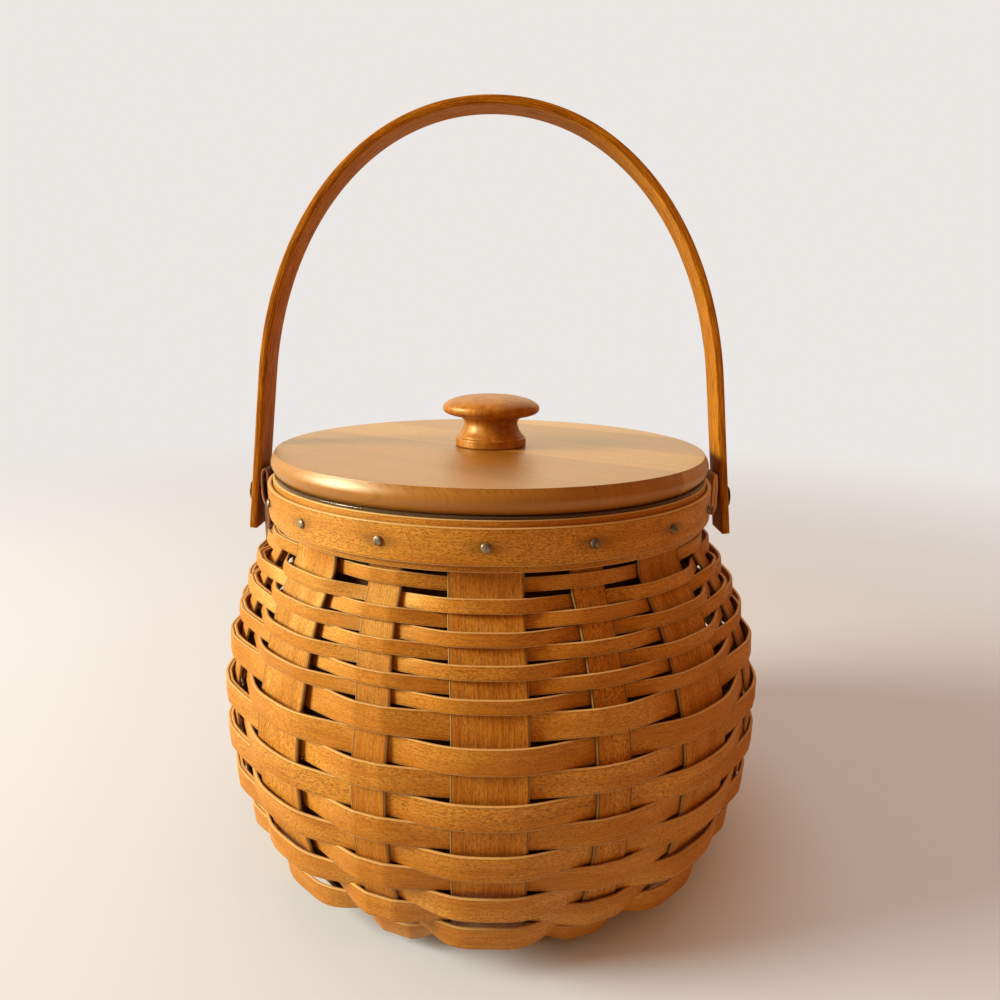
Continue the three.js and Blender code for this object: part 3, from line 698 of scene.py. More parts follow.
def splint_path(wall, strip, k):
    """Path and width of one long splint: down one side, across the base and up the other."""
    wide = k % 2 == 0
    width = strip.wide_upright if wide else strip.narrow_upright
    layer = k // 2 if wide else UPRIGHTS // 4 + (k - 1) // 2
    lift = strip.thickness + 0.3 * MM
    base = wall.base_height
    half = [[seat_x(wall.rim_radius, width), RIM_TOP - 0.3 * MM]]
    for down in np.linspace(0, wall.length, 90):
        r, z, _ = wall.at(down)
        half.append([seat_x(r, width), z])
    # Under the base it rises to its own layer of the stack. A narrow splint first climbs on the
    # wide ones beside it
    start, end = 44.0 * MM, 31.5 * MM
    if not wide:
        half += [[58.9 * MM, base], [49.4 * MM, base + lift]]
        start, end, base = start + 3 * MM, end + 1.5 * MM, base + lift
        layer -= 1
    half = np.array([*half, [start, base], [end, base + layer * lift]])
    other = half[::-1] * np.array([-1, 1])
    flat = smoothed(resampled(np.vstack([half, other]), 2.2 * MM), 3)
    line, lay = [], []
    for (x, z), (dx, dz) in zip(flat, directions(flat)):
        out, _ = upright_frame(k if x > 0 else k + UPRIGHTS // 2, looseness(z, abs(x)))
        out = out if x > 0 else -out
        line.append(out * x + np.array([wall.drift(z), 0, z]))
        lay.append(out * -dz + np.array([0, 0, dx]))
    return (np.array(line), np.array(lay)), width


def ring_path(radius, height, lap, thickness, start, steps=220):
    """A ring that ends in a lap over its own start, up to which it climbs over 9 degrees."""
    turned = np.linspace(0, 2 * math.pi + lap / radius, steps)
    climb = 0.16
    over = eased((turned - 2 * math.pi + climb) / climb)
    turn = start + turned
    out = np.stack([np.sin(turn), -np.cos(turn), np.zeros(steps)], 1)
    return out * (radius + over * thickness * 1.02)[:, None] + (0, 0, height), out


def new_material(name):
    """An empty node material and its tree."""
    made = bpy.data.materials.new(name)
    made.use_nodes = True
    made.node_tree.nodes.clear()
    return made, made.node_tree


def streaks(tree, source, along, wide, detail, rough):
    """Noise drawn out along the grain: a feature is so many metres long and wide."""
    scale = (1 / along, 1 / wide, 1 / wide)
    scaled = add(tree, "ShaderNodeMapping", {"Vector": source, "Scale": scale})
    noise = {"Vector": scaled, "Scale": 1.0, "Detail": detail, "Roughness": rough}
    return add(tree, "ShaderNodeTexNoise", noise)


def tinted(tree, base, tint, *step):
    """A base colour that goes over to a tint by a step.

    The step is a pattern, its low and high value, and how much tint there is at each of them.
    """
    share = add(tree, "ShaderNodeMapRange", step, interpolation_type="SMOOTHSTEP")
    return add(tree, "ShaderNodeMix", (share, base, tint), data_type="RGBA")


def finish(tree, colour, step, bumps, more):
    """Ends a material: roughness that follows a step, bumps one on the other, and the shader."""
    rough = add(tree, "ShaderNodeMapRange", step, interpolation_type="SMOOTHSTEP")
    normal = {}
    for height, strength, distance in bumps:
        relief = {"Height": height, "Strength": strength, "Distance": distance} | normal
        normal = {"Normal": add(tree, "ShaderNodeBump", relief)}
    inputs = {"Base Color": colour, "Roughness": rough} | normal | more
    shader = add(tree, "ShaderNodeBsdfPrincipled", inputs)
    add(tree, "ShaderNodeOutputMaterial", {"Surface": shader})


def off_tack(tree):
    """Distance from a band's nearest tack, of which 1 is 4.7 mm along it or 1.7 mm up."""
    maths = "ShaderNodeMath"
    place = add(tree, "ShaderNodeTexCoord").outputs["Object"]
    parts = add(tree, "ShaderNodeSeparateXYZ", (place,)).outputs
    turn = add(tree, maths, (parts["X"], parts["Y"]), operation="ARCTAN2")
    half = math.pi / UPRIGHTS
    folded = add(tree, maths, (turn, half, -half), operation="WRAP")
    aside = add(tree, maths, (folded, 20.0), operation="MULTIPLY")
    low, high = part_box("rim_tack_1")
    rise = add(tree, maths, (parts["Z"], (low.z + high.z) / 2), operation="SUBTRACT")
    above = add(tree, maths, (rise, 600.0), operation="MULTIPLY")
    both = add(tree, "ShaderNodeCombineXYZ", (aside, above))
    return add(tree, "ShaderNodeVectorMath", (both,), operation="LENGTH")


def strip_wood(
    name, tones, fleck_and_shade, roughness, gloss, edge=0.45, groove=0.0, figure=0.25, nailed=False
):
    """Maple splint with a worn honey stain: satin, fine fibres along it and a mottled glow.

    Fibres are about 0.4 mm wide and 10 mm long, drawn coarser than real so that they show.
    Mottling and flecks are 1 to 1.5 mm long. The cut edges take less stain and look like pale
    lines, partly a painted highlight where edges catch the light. Beside them runs a dark line of
    painted shade where asked for, and the inner half of each cut edge is darkened as painted shade
    where the strip lies on what is behind it. The shine is yellow, as light comes back off stained
    fibres.
    """
    dark, mid, light, edge_tone = tones
    made, tree = new_material(name)
    grain, section = (
        add(tree, "ShaderNodeAttribute", attribute_name=key).outputs["Vector"]
        for key in ("grain", "section")
    )
    to_edge = add(tree, "ShaderNodeAttribute", attribute_name="to_edge").outputs["Fac"]
    fibres = streaks(tree, grain, 0.010, 0.0004, 3.0, 0.6)
    cloud = streaks(tree, grain, 0.040, 0.008, 2.0, 0.5)
    mottle = streaks(tree, grain, 0.0015, 0.00055, 3.0, 0.75)
    pores = streaks(tree, grain, 0.0009, 0.00035, 1.0, 0.4)
    lined = tinted(tree, dark, mid, fibres, 0.30, 0.66, figure, 1.0)
    toned = tinted(tree, lined, light, cloud, 0.35, 0.66, 0.15, 0.8)
    speckled = tinted(tree, toned, lined, mottle, 0.38, 0.62, 0.9, 0.0)
    flecked = tinted(tree, speckled, fleck_and_shade, pores, 0.55, 0.66, 0.0, 0.65)

    # Each strip took the stain its own way
    depth = add(tree, "ShaderNodeSeparateXYZ", (grain,)).outputs["Z"]
    number = add(tree, "ShaderNodeMath", (depth, GRAIN_STEP / 2), operation="ADD")
    whole = add(tree, "ShaderNodeMath", (number, GRAIN_STEP), operation="SNAP")
    lot = add(tree, "ShaderNodeTexWhiteNoise", (whole,), noise_dimensions="1D")
    stained = tinted(tree, flecked, lined, lot, 0.0, 1.0, 0.0, 0.45)
    # Painted shade: a dark line on the face, 0.3 to 0.9 mm in from each long edge, where shade
    # falls beside the edge
    grooved = tinted(tree, stained, fleck_and_shade, to_edge, 0.0003, 0.0009, groove, 0.0)
    # Painted shade: the inner half of each cut edge goes dark, where the strip lies on what is
    # behind it
    through = add(tree, "ShaderNodeSeparateXYZ", (section,)).outputs["X"]
    cut_tone_and_shade = tinted(tree, edge_tone, fleck_and_shade, through, -0.0006, -0.0001, 0.85, 0.0)
    # The cut edges take the edge tone: less stain, and on the weave's pale edges partly a painted
    # highlight
    colour = tinted(tree, grooved, cut_tone_and_shade, to_edge, 0.0001, 0.00038, edge, 0.0)
    if nailed:
        # A soft dark streak along the grain at each tack, about 8 mm long and 3 mm high
        colour = tinted(tree, colour, fleck_and_shade, off_tack(tree), 0.6, 2.2, 0.45, 0.0)
    rough = (cloud, 0.3, 0.7, roughness + 0.08, roughness - 0.06)
    bumps = ((fibres, 0.5, 0.00016), (mottle, 0.6, 0.00014))
    shine = {"IOR": 1.5, "Specular IOR Level": gloss, "Specular Tint": linear("ffe888")}
    finish(tree, colour, rough, bumps, shine)
    return made


def weave_wood(kind, colour, **look):
    """The splint wood of one kind of strip in the weave."""
    tones = (colour.strip_dark, colour.strip_mid, colour.strip_light, colour.strip_edge_and_highlight)
    return strip_wood("Stained maple " + kind, tones, colour.fleck_and_shade, **look)


def board_wood(name, colour, lid):
    """Sanded glued maple boards under satin varnish: smooth, with soft tone steps at the joints.

    Growth bands are about 6 mm apart. Fibres are 0.9 mm wide, drawn coarser than real so that
    they show, and flecks 2 mm long.
    """
    made, tree = new_material(name)
    maths, fleck_and_shade = "ShaderNodeMath", colour.fleck_and_shade
    place = add(tree, "ShaderNodeTexCoord").outputs["Object"]
    turn = {"Vector": place, "Rotation": (0, 0, -lid.board_turn)}
    turned = add(tree, "ShaderNodeMapping", turn)
    parts = add(tree, "ShaderNodeSeparateXYZ", (turned,)).outputs
    # The joints stand off the lid's middle, and each board has a tone and a grain of its own
    across = add(tree, maths, (parts["Y"], 10.8 * MM), operation="ADD")
    count = add(tree, maths, (across, lid.board_width), operation="DIVIDE")
    index = add(tree, maths, (count,), operation="FLOOR")
    lot = add(tree, "ShaderNodeTexWhiteNoise", (index,), noise_dimensions="1D")
    shift = add(tree, maths, (index, 0.31), operation="MULTIPLY")
    grain = add(tree, "ShaderNodeCombineXYZ", (parts["X"], parts["Y"], shift))
    bands = streaks(tree, grain, 0.11, 0.006, 3.0, 0.6)
    fibres = streaks(tree, grain, 0.030, 0.0009, 3.0, 0.65)
    pores = streaks(tree, grain, 0.0022, 0.0004, 1.0, 0.4)
    base = tinted(tree, colour.board_dark, colour.board_light, lot, 0.1, 0.9, 0.15, 0.85)
    banded = tinted(tree, base, fleck_and_shade, bands, 0.38, 0.6, 0.0, 0.16)
    lined = tinted(tree, banded, fleck_and_shade, fibres, 0.38, 0.6, 0.0, 0.22)
    flecked = tinted(tree, lined, fleck_and_shade, pores, 0.56, 0.7, 0.0, 0.6)
    part = add(tree, maths, (count,), operation="FRACT")
    middle = add(tree, maths, (part, 0.5), operation="SUBTRACT")
    off = add(tree, maths, (middle,), operation="ABSOLUTE")
    jointed = tinted(tree, flecked, fleck_and_shade, off, 0.488, 0.5, 0.0, 0.8)
    # The sanded edge hides most of the grain, and below the arris it is darkened as painted shade
    edge = add(tree, "ShaderNodeMix", (0.08, base, fleck_and_shade), data_type="RGBA")
    height = add(tree, "ShaderNodeSeparateXYZ", (place,)).outputs["Z"]
    low, high = LID_HIGH.z - 2.2 * MM, LID_HIGH.z - 0.2 * MM
    sanded_and_shaded = tinted(tree, edge, jointed, height, low, high, 0.3, 1.0)
    shine = {"IOR": 1.5, "Specular IOR Level": 0.6, "Specular Tint": linear("ffe7a0")}
    shine |= {"Coat Weight": 0.5, "Coat Roughness": 0.34}
    finish(tree, sanded_and_shaded, (fibres, 0.3, 0.7, 0.45, 0.37), ((fibres, 0.12, 0.0001),), shine)
    return made


def turned_wood(name, base, dark, fleck_and_shade):
    """Turned maple under satin varnish: grain runs up the knob, so its sides show dashes.

    Growth bands are 3.5 mm apart, fibres 0.7 mm wide and flecks 2 mm long.
    """
    made, tree = new_material(name)
    place = add(tree, "ShaderNodeTexCoord").outputs["Object"]
    turn = {"Vector": place, "Rotation": (0, math.pi / 2, 0)}
    upright = add(tree, "ShaderNodeMapping", turn)
    bands = streaks(tree, upright, 0.03, 0.0035, 3.0, 0.6)
    fibres = streaks(tree, upright, 0.006, 0.0007, 3.0, 0.6)
    pores = streaks(tree, upright, 0.0022, 0.0005, 1.0, 0.4)
    banded = tinted(tree, base, dark, bands, 0.38, 0.62, 0.0, 0.85)
    lined = tinted(tree, banded, dark, fibres, 0.35, 0.65, 0.0, 0.6)
    colour = tinted(tree, lined, fleck_and_shade, pores, 0.6, 0.74, 0.0, 0.6)
    shine = {"IOR": 1.5, "Specular IOR Level": 0.9, "Specular Tint": linear("ffdc8c")}
    shine |= {"Coat Weight": 0.15, "Coat Roughness": 0.3}
    finish(tree, colour, (fibres, 0.3, 0.7, 0.5, 0.4), ((fibres, 0.12, 0.0001),), shine)
    return made


def leather_material(name, face, edge):
    """Vegetable-tanned strap leather: a dull creased face and pale cut edges.

    Its pebbles are 0.8 mm across, and its scuffs 1.6 mm long.
    """
    made, tree = new_material(name)
    grain = add(tree, "ShaderNodeAttribute", attribute_name="grain").outputs["Vector"]
    to_edge = add(tree, "ShaderNodeAttribute", attribute_name="to_edge").outputs["Fac"]
    cells = {"Vector": grain, "Scale": 1250.0}
    pebbles = add(tree, "ShaderNodeTexVoronoi", cells, feature="DISTANCE_TO_EDGE")
    worn = streaks(tree, grain, 0.006, 0.003, 3.0, 0.6)
    rubbed = streaks(tree, grain, 0.0016, 0.0011, 2.0, 0.5)
    aged = tinted(tree, face, edge, worn, 0.42, 0.7, 0.0, 0.15)
    scuffed = tinted(tree, aged, edge, rubbed, 0.62, 0.72, 0.0, 0.6)
    colour = tinted(tree, scuffed, edge, to_edge, 0.0001, 0.0005, 0.7, 0.0)
    finish(tree, colour, (worn, 0.3, 0.7, 0.66, 0.52), ((pebbles, 0.4, 0.0003),), {"IOR": 1.5})
    return made


def worn_metal(name, colour, dark, roughness, size):
    """Tarnished metal: dull, with darker oxide patches about so many metres across."""
    made, tree = new_material(name)
    place = add(tree, "ShaderNodeTexCoord").outputs["Object"]
    patches = streaks(tree, place, size, size, 3.0, 0.6)
    toned = tinted(tree, colour, dark, patches, 0.4, 0.65, 0.0, 0.85)
    rough = (patches, 0.35, 0.65, roughness, roughness + 0.25)
    finish(tree, toned, rough, ((patches, 0.25, 0.0001),), {"Metallic": 0.85})
    return made


def clear_styrene(name, tint, inside):
    """Moulded clear polystyrene: glassy at the flange, and brown below it.

    Below the flange the brown is painted shade, standing for the weave and the dark inside seen
    through it. Its flow marks are 20 mm long.
    """
    made, tree = new_material(name)
    place = add(tree, "ShaderNodeTexCoord").outputs["Object"]
    height = add(tree, "ShaderNodeSeparateXYZ", (place,)).outputs["Z"]
    flow = streaks(tree, place, 0.02, 0.004, 1.0, 0.4)
    low = RIM_TOP - 5.2 * MM
    # Painted shade below the flange: the wall takes the inside colour
    colour = tinted(tree, inside, tint, height, low, low + 4 * MM, 0.0, 1.0)
    rough = (height, low - 1 * MM, low + 3 * MM, 0.9, 0.12)
    clear = {"IOR": 1.45, "Specular IOR Level": 0.45, "Transmission Weight": 0.85}
    finish(tree, colour, rough, ((flow, 0.03, 0.0001),), clear)
    return made


class BASKET_OT_uprights(bpy.types.Operator):
    """Bends the eight long splints that stand up as the sixteen uprights"""

    bl_idname = "basket.uprights"
    bl_label = "Uprights"

    def execute(self, context):
        strip, colour = context.scene.basket_strip, context.scene.basket_colour
        wall = Wall(context.scene)
        wood = weave_wood(
            "upright", colour, roughness=0.64, gloss=0.9, edge=0.34, groove=1.0, figure=-0.1
        )
        for k in range(UPRIGHTS // 2):
            path, width = splint_path(wall, strip, k)
            kind = "narrow" if k % 2 else "wide"
            number = k // 2 + 1
            ties = ("basket", "splint_wood", [f"{kind}_splint_{number}"])
            name = f"upright_{kind}_{number}"
            bend_strip(name, path, width, strip.thickness, wood, ties, {"Seed": 40 + k})
        return {"FINISHED"}


class BASKET_OT_weavers(bpy.types.Operator):
    """Weaves the rows, each one strip that laps itself at the left"""

    bl_idname = "basket.weavers"
    bl_label = "Weavers"

    def execute(self, context):
        strip, colour = context.scene.basket_strip, context.scene.basket_colour
        wall = Wall(context.scene)
        wood = weave_wood("weaver", colour, roughness=0.55, gloss=1.0, groove=0.3)
        rng = np.random.default_rng(strip.seed)
        for row in range(NARROW_ROWS + WIDE_ROWS):
            path, width = weaver_path(wall, strip, row, rng)
            number = row + 1
            kind = "narrow" if row < NARROW_ROWS else "wide"
            ties = ("basket", "weaver_wood", [f"{kind}_weaver_{number}"])
            more = {"Wander": strip.wander, "Seed": number}
            bend_strip(f"row_{number:02d}", path, width, strip.thickness, wood, ties, more)
        return {"FINISHED"}


class BASKET_OT_bands(bpy.types.Operator):
    """Bends the three bands of the rim"""

    bl_idname = "basket.bands"
    bl_label = "Rim bands"

    def execute(self, context):
        rim, colour = context.scene.basket_rim, context.scene.basket_colour
        wood = weave_wood(
            "band", colour, roughness=0.52, gloss=1.0, edge=0.55, groove=0.35, nailed=True
        )
        # Which band, its thickness, where it starts in degrees from the front, and its lap
        bands = (
            ("under", rim.under_thickness, 160, rim.lap),
            ("outer", rim.outer_thickness, 172, rim.lap),
            ("inner", rim.inner_thickness, 200, 0.0),
        )
        for number, (side, thick, start, lap) in enumerate(bands):
            node = f"rim_{side}_band"
            low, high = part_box(node)
            radius = high.x - thick / 2 - 0.1 * MM
            path = ring_path(radius, (low.z + high.z) / 2, lap, thick, math.radians(start))
            ties = ("basket", "band_wood", [node])
            more = {"Seed": 70 + number, "Edge Squareness": 16.0}
            bend_strip(f"rim_bent_{side}_band", path, high.z - low.z, thick, wood, ties, more)
        return {"FINISHED"}


class BASKET_OT_tacks(bpy.types.Operator):
    """Sets a tack head on every upright of the rim"""

    bl_idname = "basket.tacks"
    bl_label = "Tacks"

    def execute(self, context):
        rim, colour = context.scene.basket_rim, context.scene.basket_colour
        metal = worn_metal("Tarnished steel tack", colour.tack, colour.tack_dark, 0.38, 1.6 * MM)
        points, facing = [], []
        for k in range(UPRIGHTS):
            low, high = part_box(f"rim_tack_{k + 1}")
            out, _ = upright_frame(k)
            radius, beside = BAND_OUT + 0.15 * MM, 0.0
            if k % 4 == 0:
                radius = max(-low.x, high.x, -low.y, high.y) - rim.tack_height
            if k in (4, 12):
                # Beside the rivet, on top of the ear
                beside = (low.y + high.y) / 2
            if k == 8:
                # Through the lap of the band at the back
                radius += rim.outer_thickness
            points.append(tuple(out * radius + np.array([0, beside, (low.z + high.z) / 2])))
            facing.append(out)
        mesh = bpy.data.meshes.new("tack_points")
        mesh.from_pydata(points, [], [])
        lay = mesh.attributes.new("lay", "FLOAT_VECTOR", "POINT")
        lay.data.foreach_set("vector", np.array(facing).ravel())
        inputs = {"Radius": rim.tack_radius, "Height": rim.tack_height, "Tilt": 0.07, "Seed": 5}
        ties = ("basket", "tack_metal", [f"rim_tack_{k + 1}" for k in range(UPRIGHTS)])
        grow("rim_tack_heads", mesh, head_tree(), inputs | {"Material": metal}, ties)
        return {"FINISHED"}


class BASKET_OT_liner(bpy.types.Operator):
    """Moulds the clear liner with its rolled flange"""

    bl_idname = "basket.liner"
    bl_label = "Liner"

    def execute(self, context):
        colour, wall = context.scene.basket_colour, context.scene.basket_rim.liner_wall
        low, top, flange = LINER_LOW.z, LINER_HIGH.z, LINER_HIGH.x
        mouth, under = 84.4 * MM, top - 0.9 * MM
        floor = mouth - 6.1 * MM
        corners = [
            (0.0, low, 0),
            (floor - 4 * MM, low, 0),
            (floor, low + 1 * MM, 7 * MM),
            (mouth, under, 0.6 * MM),
            (flange - 0.5 * MM, under, 0.4 * MM),
            (flange, under, 0.4 * MM),
            (flange, top, 0.4 * MM),
            (mouth - wall, top, 1.2 * MM),
            (floor - wall, low + wall + 1 * MM, 6.5 * MM),
            (floor - 4 * MM - wall, low + wall, 0),
            (0.0, low + wall, 0),
        ]
        plastic = clear_styrene("Clear polystyrene", colour.liner, colour.liner_inside_shade)
        ties = ("basket", "clear_plastic", ["liner"])
        turn_piece("clear_liner", eased_corners(corners), 128, plastic, ties)
        return {"FINISHED"}


class BASKET_OT_lid(bpy.types.Operator):
    """Turns the lid with its rounded edge and plug"""

    bl_idname = "basket.lid"
    bl_label = "Lid"

    def execute(self, context):
        lid, colour = context.scene.basket_lid, context.scene.basket_colour
        radius, top, low = LID_HIGH.x, LID_HIGH.z, LID_LOW.z
        bottom = LINER_HIGH.z + 0.2 * MM
        plug = 82.3 * MM
        flat = radius - lid.edge_round
        side = ((-1.15, -0.9), (-0.55, -2.0), (-0.12, -3.3), (0, -4.4), (-0.35, -5.8), (-1.3, -7.5))
        edge = [(flat, top), *placed(side, radius, top), (radius - 2.8 * MM, bottom)]
        under = [(0.0, low, 0), (4.2 * MM, low, 0), (plug, low, 0.8 * MM), (plug, bottom, 0)]
        profile = eased_corners(under) + smooth_profile(edge, 8)[::-1]
        profile += [(flat - 0.25 * MM, top), (0.0, top)]
        wood = board_wood("Varnished maple board", colour, lid)
        turn_piece("lid_top", profile, 160, wood, ("lid", "lid_wood", ["lid_board"]), 24)
        return {"FINISHED"}


class BASKET_OT_knob(bpy.types.Operator):
    """Turns the knob and gives its screw a finish"""

    bl_idname = "basket.knob"
    bl_label = "Knob"

    def execute(self, context):
        colour = context.scene.basket_colour
        low, high, cap = KNOB_LOW.z, KNOB_HIGH.z, KNOB_HIGH.x
        foot = 15.1 * MM
        ring = [(0.0, low, 0), (foot, low, 0.5 * MM), (foot, low + 3.3 * MM, 0.6 * MM)]
        ring += [(14.3 * MM, low + 3.7 * MM, 0.2 * MM), (14.0 * MM, low + 4.3 * MM, 0)]
        neck = placed(((14.0, 4.3), (12.4, 6.3), (11.4, 9.2), (12.0, 11.2), (14.2, 12.5)), 0, low)
        side = ((-3.2, 13.1), (-0.7, 14.3), (0, 15.9), (-0.9, 17.7), (-4.4, 19.6), (-10.4, 21.0))
        crown = [neck[-1], *placed(side, cap, low), (4.0 * MM, high), (0.0, high)]
        profile = eased_corners(ring) + smooth_profile(neck, 6)[1:] + smooth_profile(crown, 7)[1:]
        wood = turned_wood("Varnished turned maple", colour.knob, colour.knob_dark, colour.fleck_and_shade)
        turn_piece("knob", profile, 96, wood, ("lid", "knob_wood", ["lid_knob"]), 50)
        zinc, dull = linear("b4b6b8"), linear("7c7f82")
        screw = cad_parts["knob_screw"]
        screw.data.materials.clear()
        screw.data.materials.append(worn_metal("Zinc plated screw", zinc, dull, 0.25, 1 * MM))
        return {"FINISHED"}


class BASKET_OT_handle(bpy.types.Operator):
    """Bends the handle from one strip"""

    bl_idname = "basket.handle"
    bl_label = "Handle"

    def execute(self, context):
        handle, colour = context.scene.basket_handle, context.scene.basket_colour
        low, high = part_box("swing_handle")
        half_thick = handle.thickness / 2
        foot = np.array([high.x - half_thick, low.z])
        lean = np.array([-math.sin(handle.leg_lean), math.cos(handle.leg_lean)])
        leg_end = foot + lean * handle.leg_length / lean[1]
        crown = np.array([0.0, high.z - half_thick])
        # A cubic curve whose pulls are this share of its sides bends nearly like an ellipse
        share = 0.5523
        rise = leg_end + lean * (crown[1] - leg_end[1]) * share
        level = np.array([leg_end[0] * share, crown[1]])
        t = np.linspace(0, 1, 90)[:, None]
        bend = (1 - t) ** 3 * leg_end + 3 * t * (1 - t) ** 2 * rise
        bend += 3 * t**2 * (1 - t) * level + t**3 * crown
        leg = foot + (leg_end - foot) * np.linspace(0, 1, 30)[:-1, None]
        half = np.vstack([leg, bend])
        flat = np.vstack([half, half[-2::-1] * np.array([-1, 1])])
        path = in_plane(smoothed(resampled(flat, 2.0 * MM), 4), 1, 1)
        tones = (colour.handle_dark, colour.handle_mid, colour.strip_mid, colour.handle_edge)
        look = {"roughness": 0.6, "gloss": 0.15, "edge": 0.35, "figure": -0.4}
        wood = strip_wood("Stained maple handle", tones, colour.fleck_and_shade, **look)
        ties = ("handle", "handle_wood", ["swing_handle"])
        bend_strip(
            "bent_handle", path, handle.width, handle.thickness, wood, ties, {"Seed": 90}
        )
        return {"FINISHED"}


def round_tab(spots):
    """Gives the right ear's outer layer a round end."""
    left = np.clip((spots[:, 2] - TAB_END) / (7.0 * MM), 0, 1)
    outer_layer = spots[:, 0] > 96.3 * MM
    spots[:, 1] *= np.where(outer_layer, np.sqrt(1 - (1 - left) ** 2), 1)
    return spots


def curl_flap(spots):
    """Slips the left ear's outer layer forward, narrows it and curls it round the band."""
    outer_layer = spots[:, 0] < -95.7 * MM
    down = np.clip((155.0 * MM - spots[:, 2]) / (8.0 * MM), 0, 1) * outer_layer
    below = np.clip((150.0 * MM - spots[:, 2]) / (20.0 * MM), 0, 1) * outer_layer
    spots[:, 1] = spots[:, 1] * (1 - 0.35 * below) - 4.5 * MM * down
    front = np.clip((-7.6 * MM - spots[:, 1]) / (5.5 * MM), 0, 1)
    spots[:, 0] += 3.7 * MM * front * down
    return spots


class BASKET_OT_ears(bpy.types.Operator):
    """Folds the two leather ears"""

    bl_idname = "basket.ears"
    bl_label = "Ears"

    def execute(self, context):
        ear, colour = context.scene.basket_handle, context.scene.basket_colour
        tan = (colour.leather_tan, colour.leather_edge)
        brown = (colour.leather, colour.leather_worn)
        tab = (tan, ear.tab_width, ear.tab_thickness, 95.1 * MM, TAB_END, round_tab)
        flap = (brown, ear.flap_width, ear.flap_thickness, 93.9 * MM, FLAP_END, curl_flap)
        top = EAR_HIGH.z
        for sign, side, given in ((1, "right", tab), (-1, "left", flap)):
            # Colours, width, thickness, radius of the inner face, lower end and last shaping
            tones, width, thick, near, end, reshape = given
            inner = near + thick / 2
            outer = 97.5 * MM - thick / 2
            fold = [
                (inner, 150.0 * MM),
                (inner, top - 4.5 * MM),
                (inner + 0.4 * MM, top - 2.1 * MM),
                ((inner + outer) / 2, top - 1.0 * MM - thick / 2),
                (outer - 0.4 * MM, top - 3.1 * MM),
                (outer, top - 6.0 * MM),
                (outer, (top + end) / 2),
                (outer, end),
            ]
            flat = smoothed(resampled(np.array(smooth_profile(fold, 6)), 0.8 * MM), 2)
            leather = leather_material(f"Strap leather {side}", *tones)
            ties = ("basket", "leather", [f"ear_{side}"])
            more = {"Wander": 0.3 * MM, "Seed": 100 + sign}
            path = in_plane(flat, sign, -1)
            bend_strip(f"leather_ear_{side}", path, width, thick, leather, ties, more, reshape)
        return {"FINISHED"}


class BASKET_OT_rivets(bpy.types.Operator):
    """Turns the two rivets that carry the handle"""

    bl_idname = "basket.rivets"
    bl_label = "Rivets"

    def execute(self, context):
        colour, radius = context.scene.basket_colour, context.scene.basket_handle.rivet_radius
        metal = worn_metal("Tarnished brass rivet", colour.rivet, colour.rivet_dark, 0.34, 2 * MM)
        washer, shank = 3.1 * MM, 1.7 * MM
        for sign, side in ((1, "right"), (-1, "left")):
            low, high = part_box(f"rivet_{side}")
            near, far = sorted((abs(low.x), abs(high.x)))
            head, crown = far - 1.15 * MM, far + 0.6 * MM
            inside = near + 0.8 * MM
            corners = [(0.0, near, 0), (washer, near, 0.2 * MM), (washer, inside, 0)]
            corners += [(shank, inside, 0), (shank, head, 0)]
            corners += [(radius, head, 0), (radius, far, 0.3 * MM)]
            corners += [(3.6 * MM, crown - 0.2 * MM, 0.8 * MM), (1.2 * MM, crown, 0.6 * MM)]
            profile = eased_corners([*corners, (0.0, crown, 0)], 4)
            lie = Matrix.Rotation(sign * math.pi / 2, 4, "Y")
            place = Matrix.Translation((0, 0, (low.z + high.z) / 2)) @ lie
            ties = ("basket", "rivet_metal", [f"rivet_{side}"])
            turn_piece(f"pivot_rivet_{side}", profile, 40, metal, ties, place=place)
        return {"FINISHED"}


def place_camera(scene):
    """Sets the camera by the reference picture: its width and focal length are in pixels."""
    picture_width, focal_length = 1000, 769
    camera = new_object("Camera", bpy.data.cameras.new("Camera"))
    camera.data.sensor_width = 36
    camera.data.lens = 36 * focal_length / picture_width
    camera.data.clip_start = 0.01
    pitch, roll = math.radians(13.07), math.radians(-0.75)
    ahead = Vector((0, math.cos(pitch), -math.sin(pitch)))
    up = Vector((0, math.sin(pitch), math.cos(pitch)))
    right = Vector((1, 0, 0))
    x_axis = right * math.cos(roll) - up * math.sin(roll)
    y_axis = right * math.sin(roll) + up * math.cos(roll)
    turn = Matrix((x_axis, y_axis, -ahead)).transposed().to_4x4()
    camera.matrix_world = Matrix.Translation((0.0043, -0.3291, 0.2264)) @ turn
    scene.camera = camera


def place_lamp(name, place, size, power, code):
    """Sets a round lamp that shines on the basket."""
    lamp = new_object(name, bpy.data.lights.new(name, "AREA"))
    lamp.data.shape = "DISK"
    lamp.data.size = size
    lamp.data.energy = power
    lamp.data.color = linear(code)[:3]
    lamp.location = place
    aim = Vector((0, 0, 0.1)) - Vector(place)
    lamp.rotation_euler = aim.to_track_quat("-Z", "Y").to_euler()


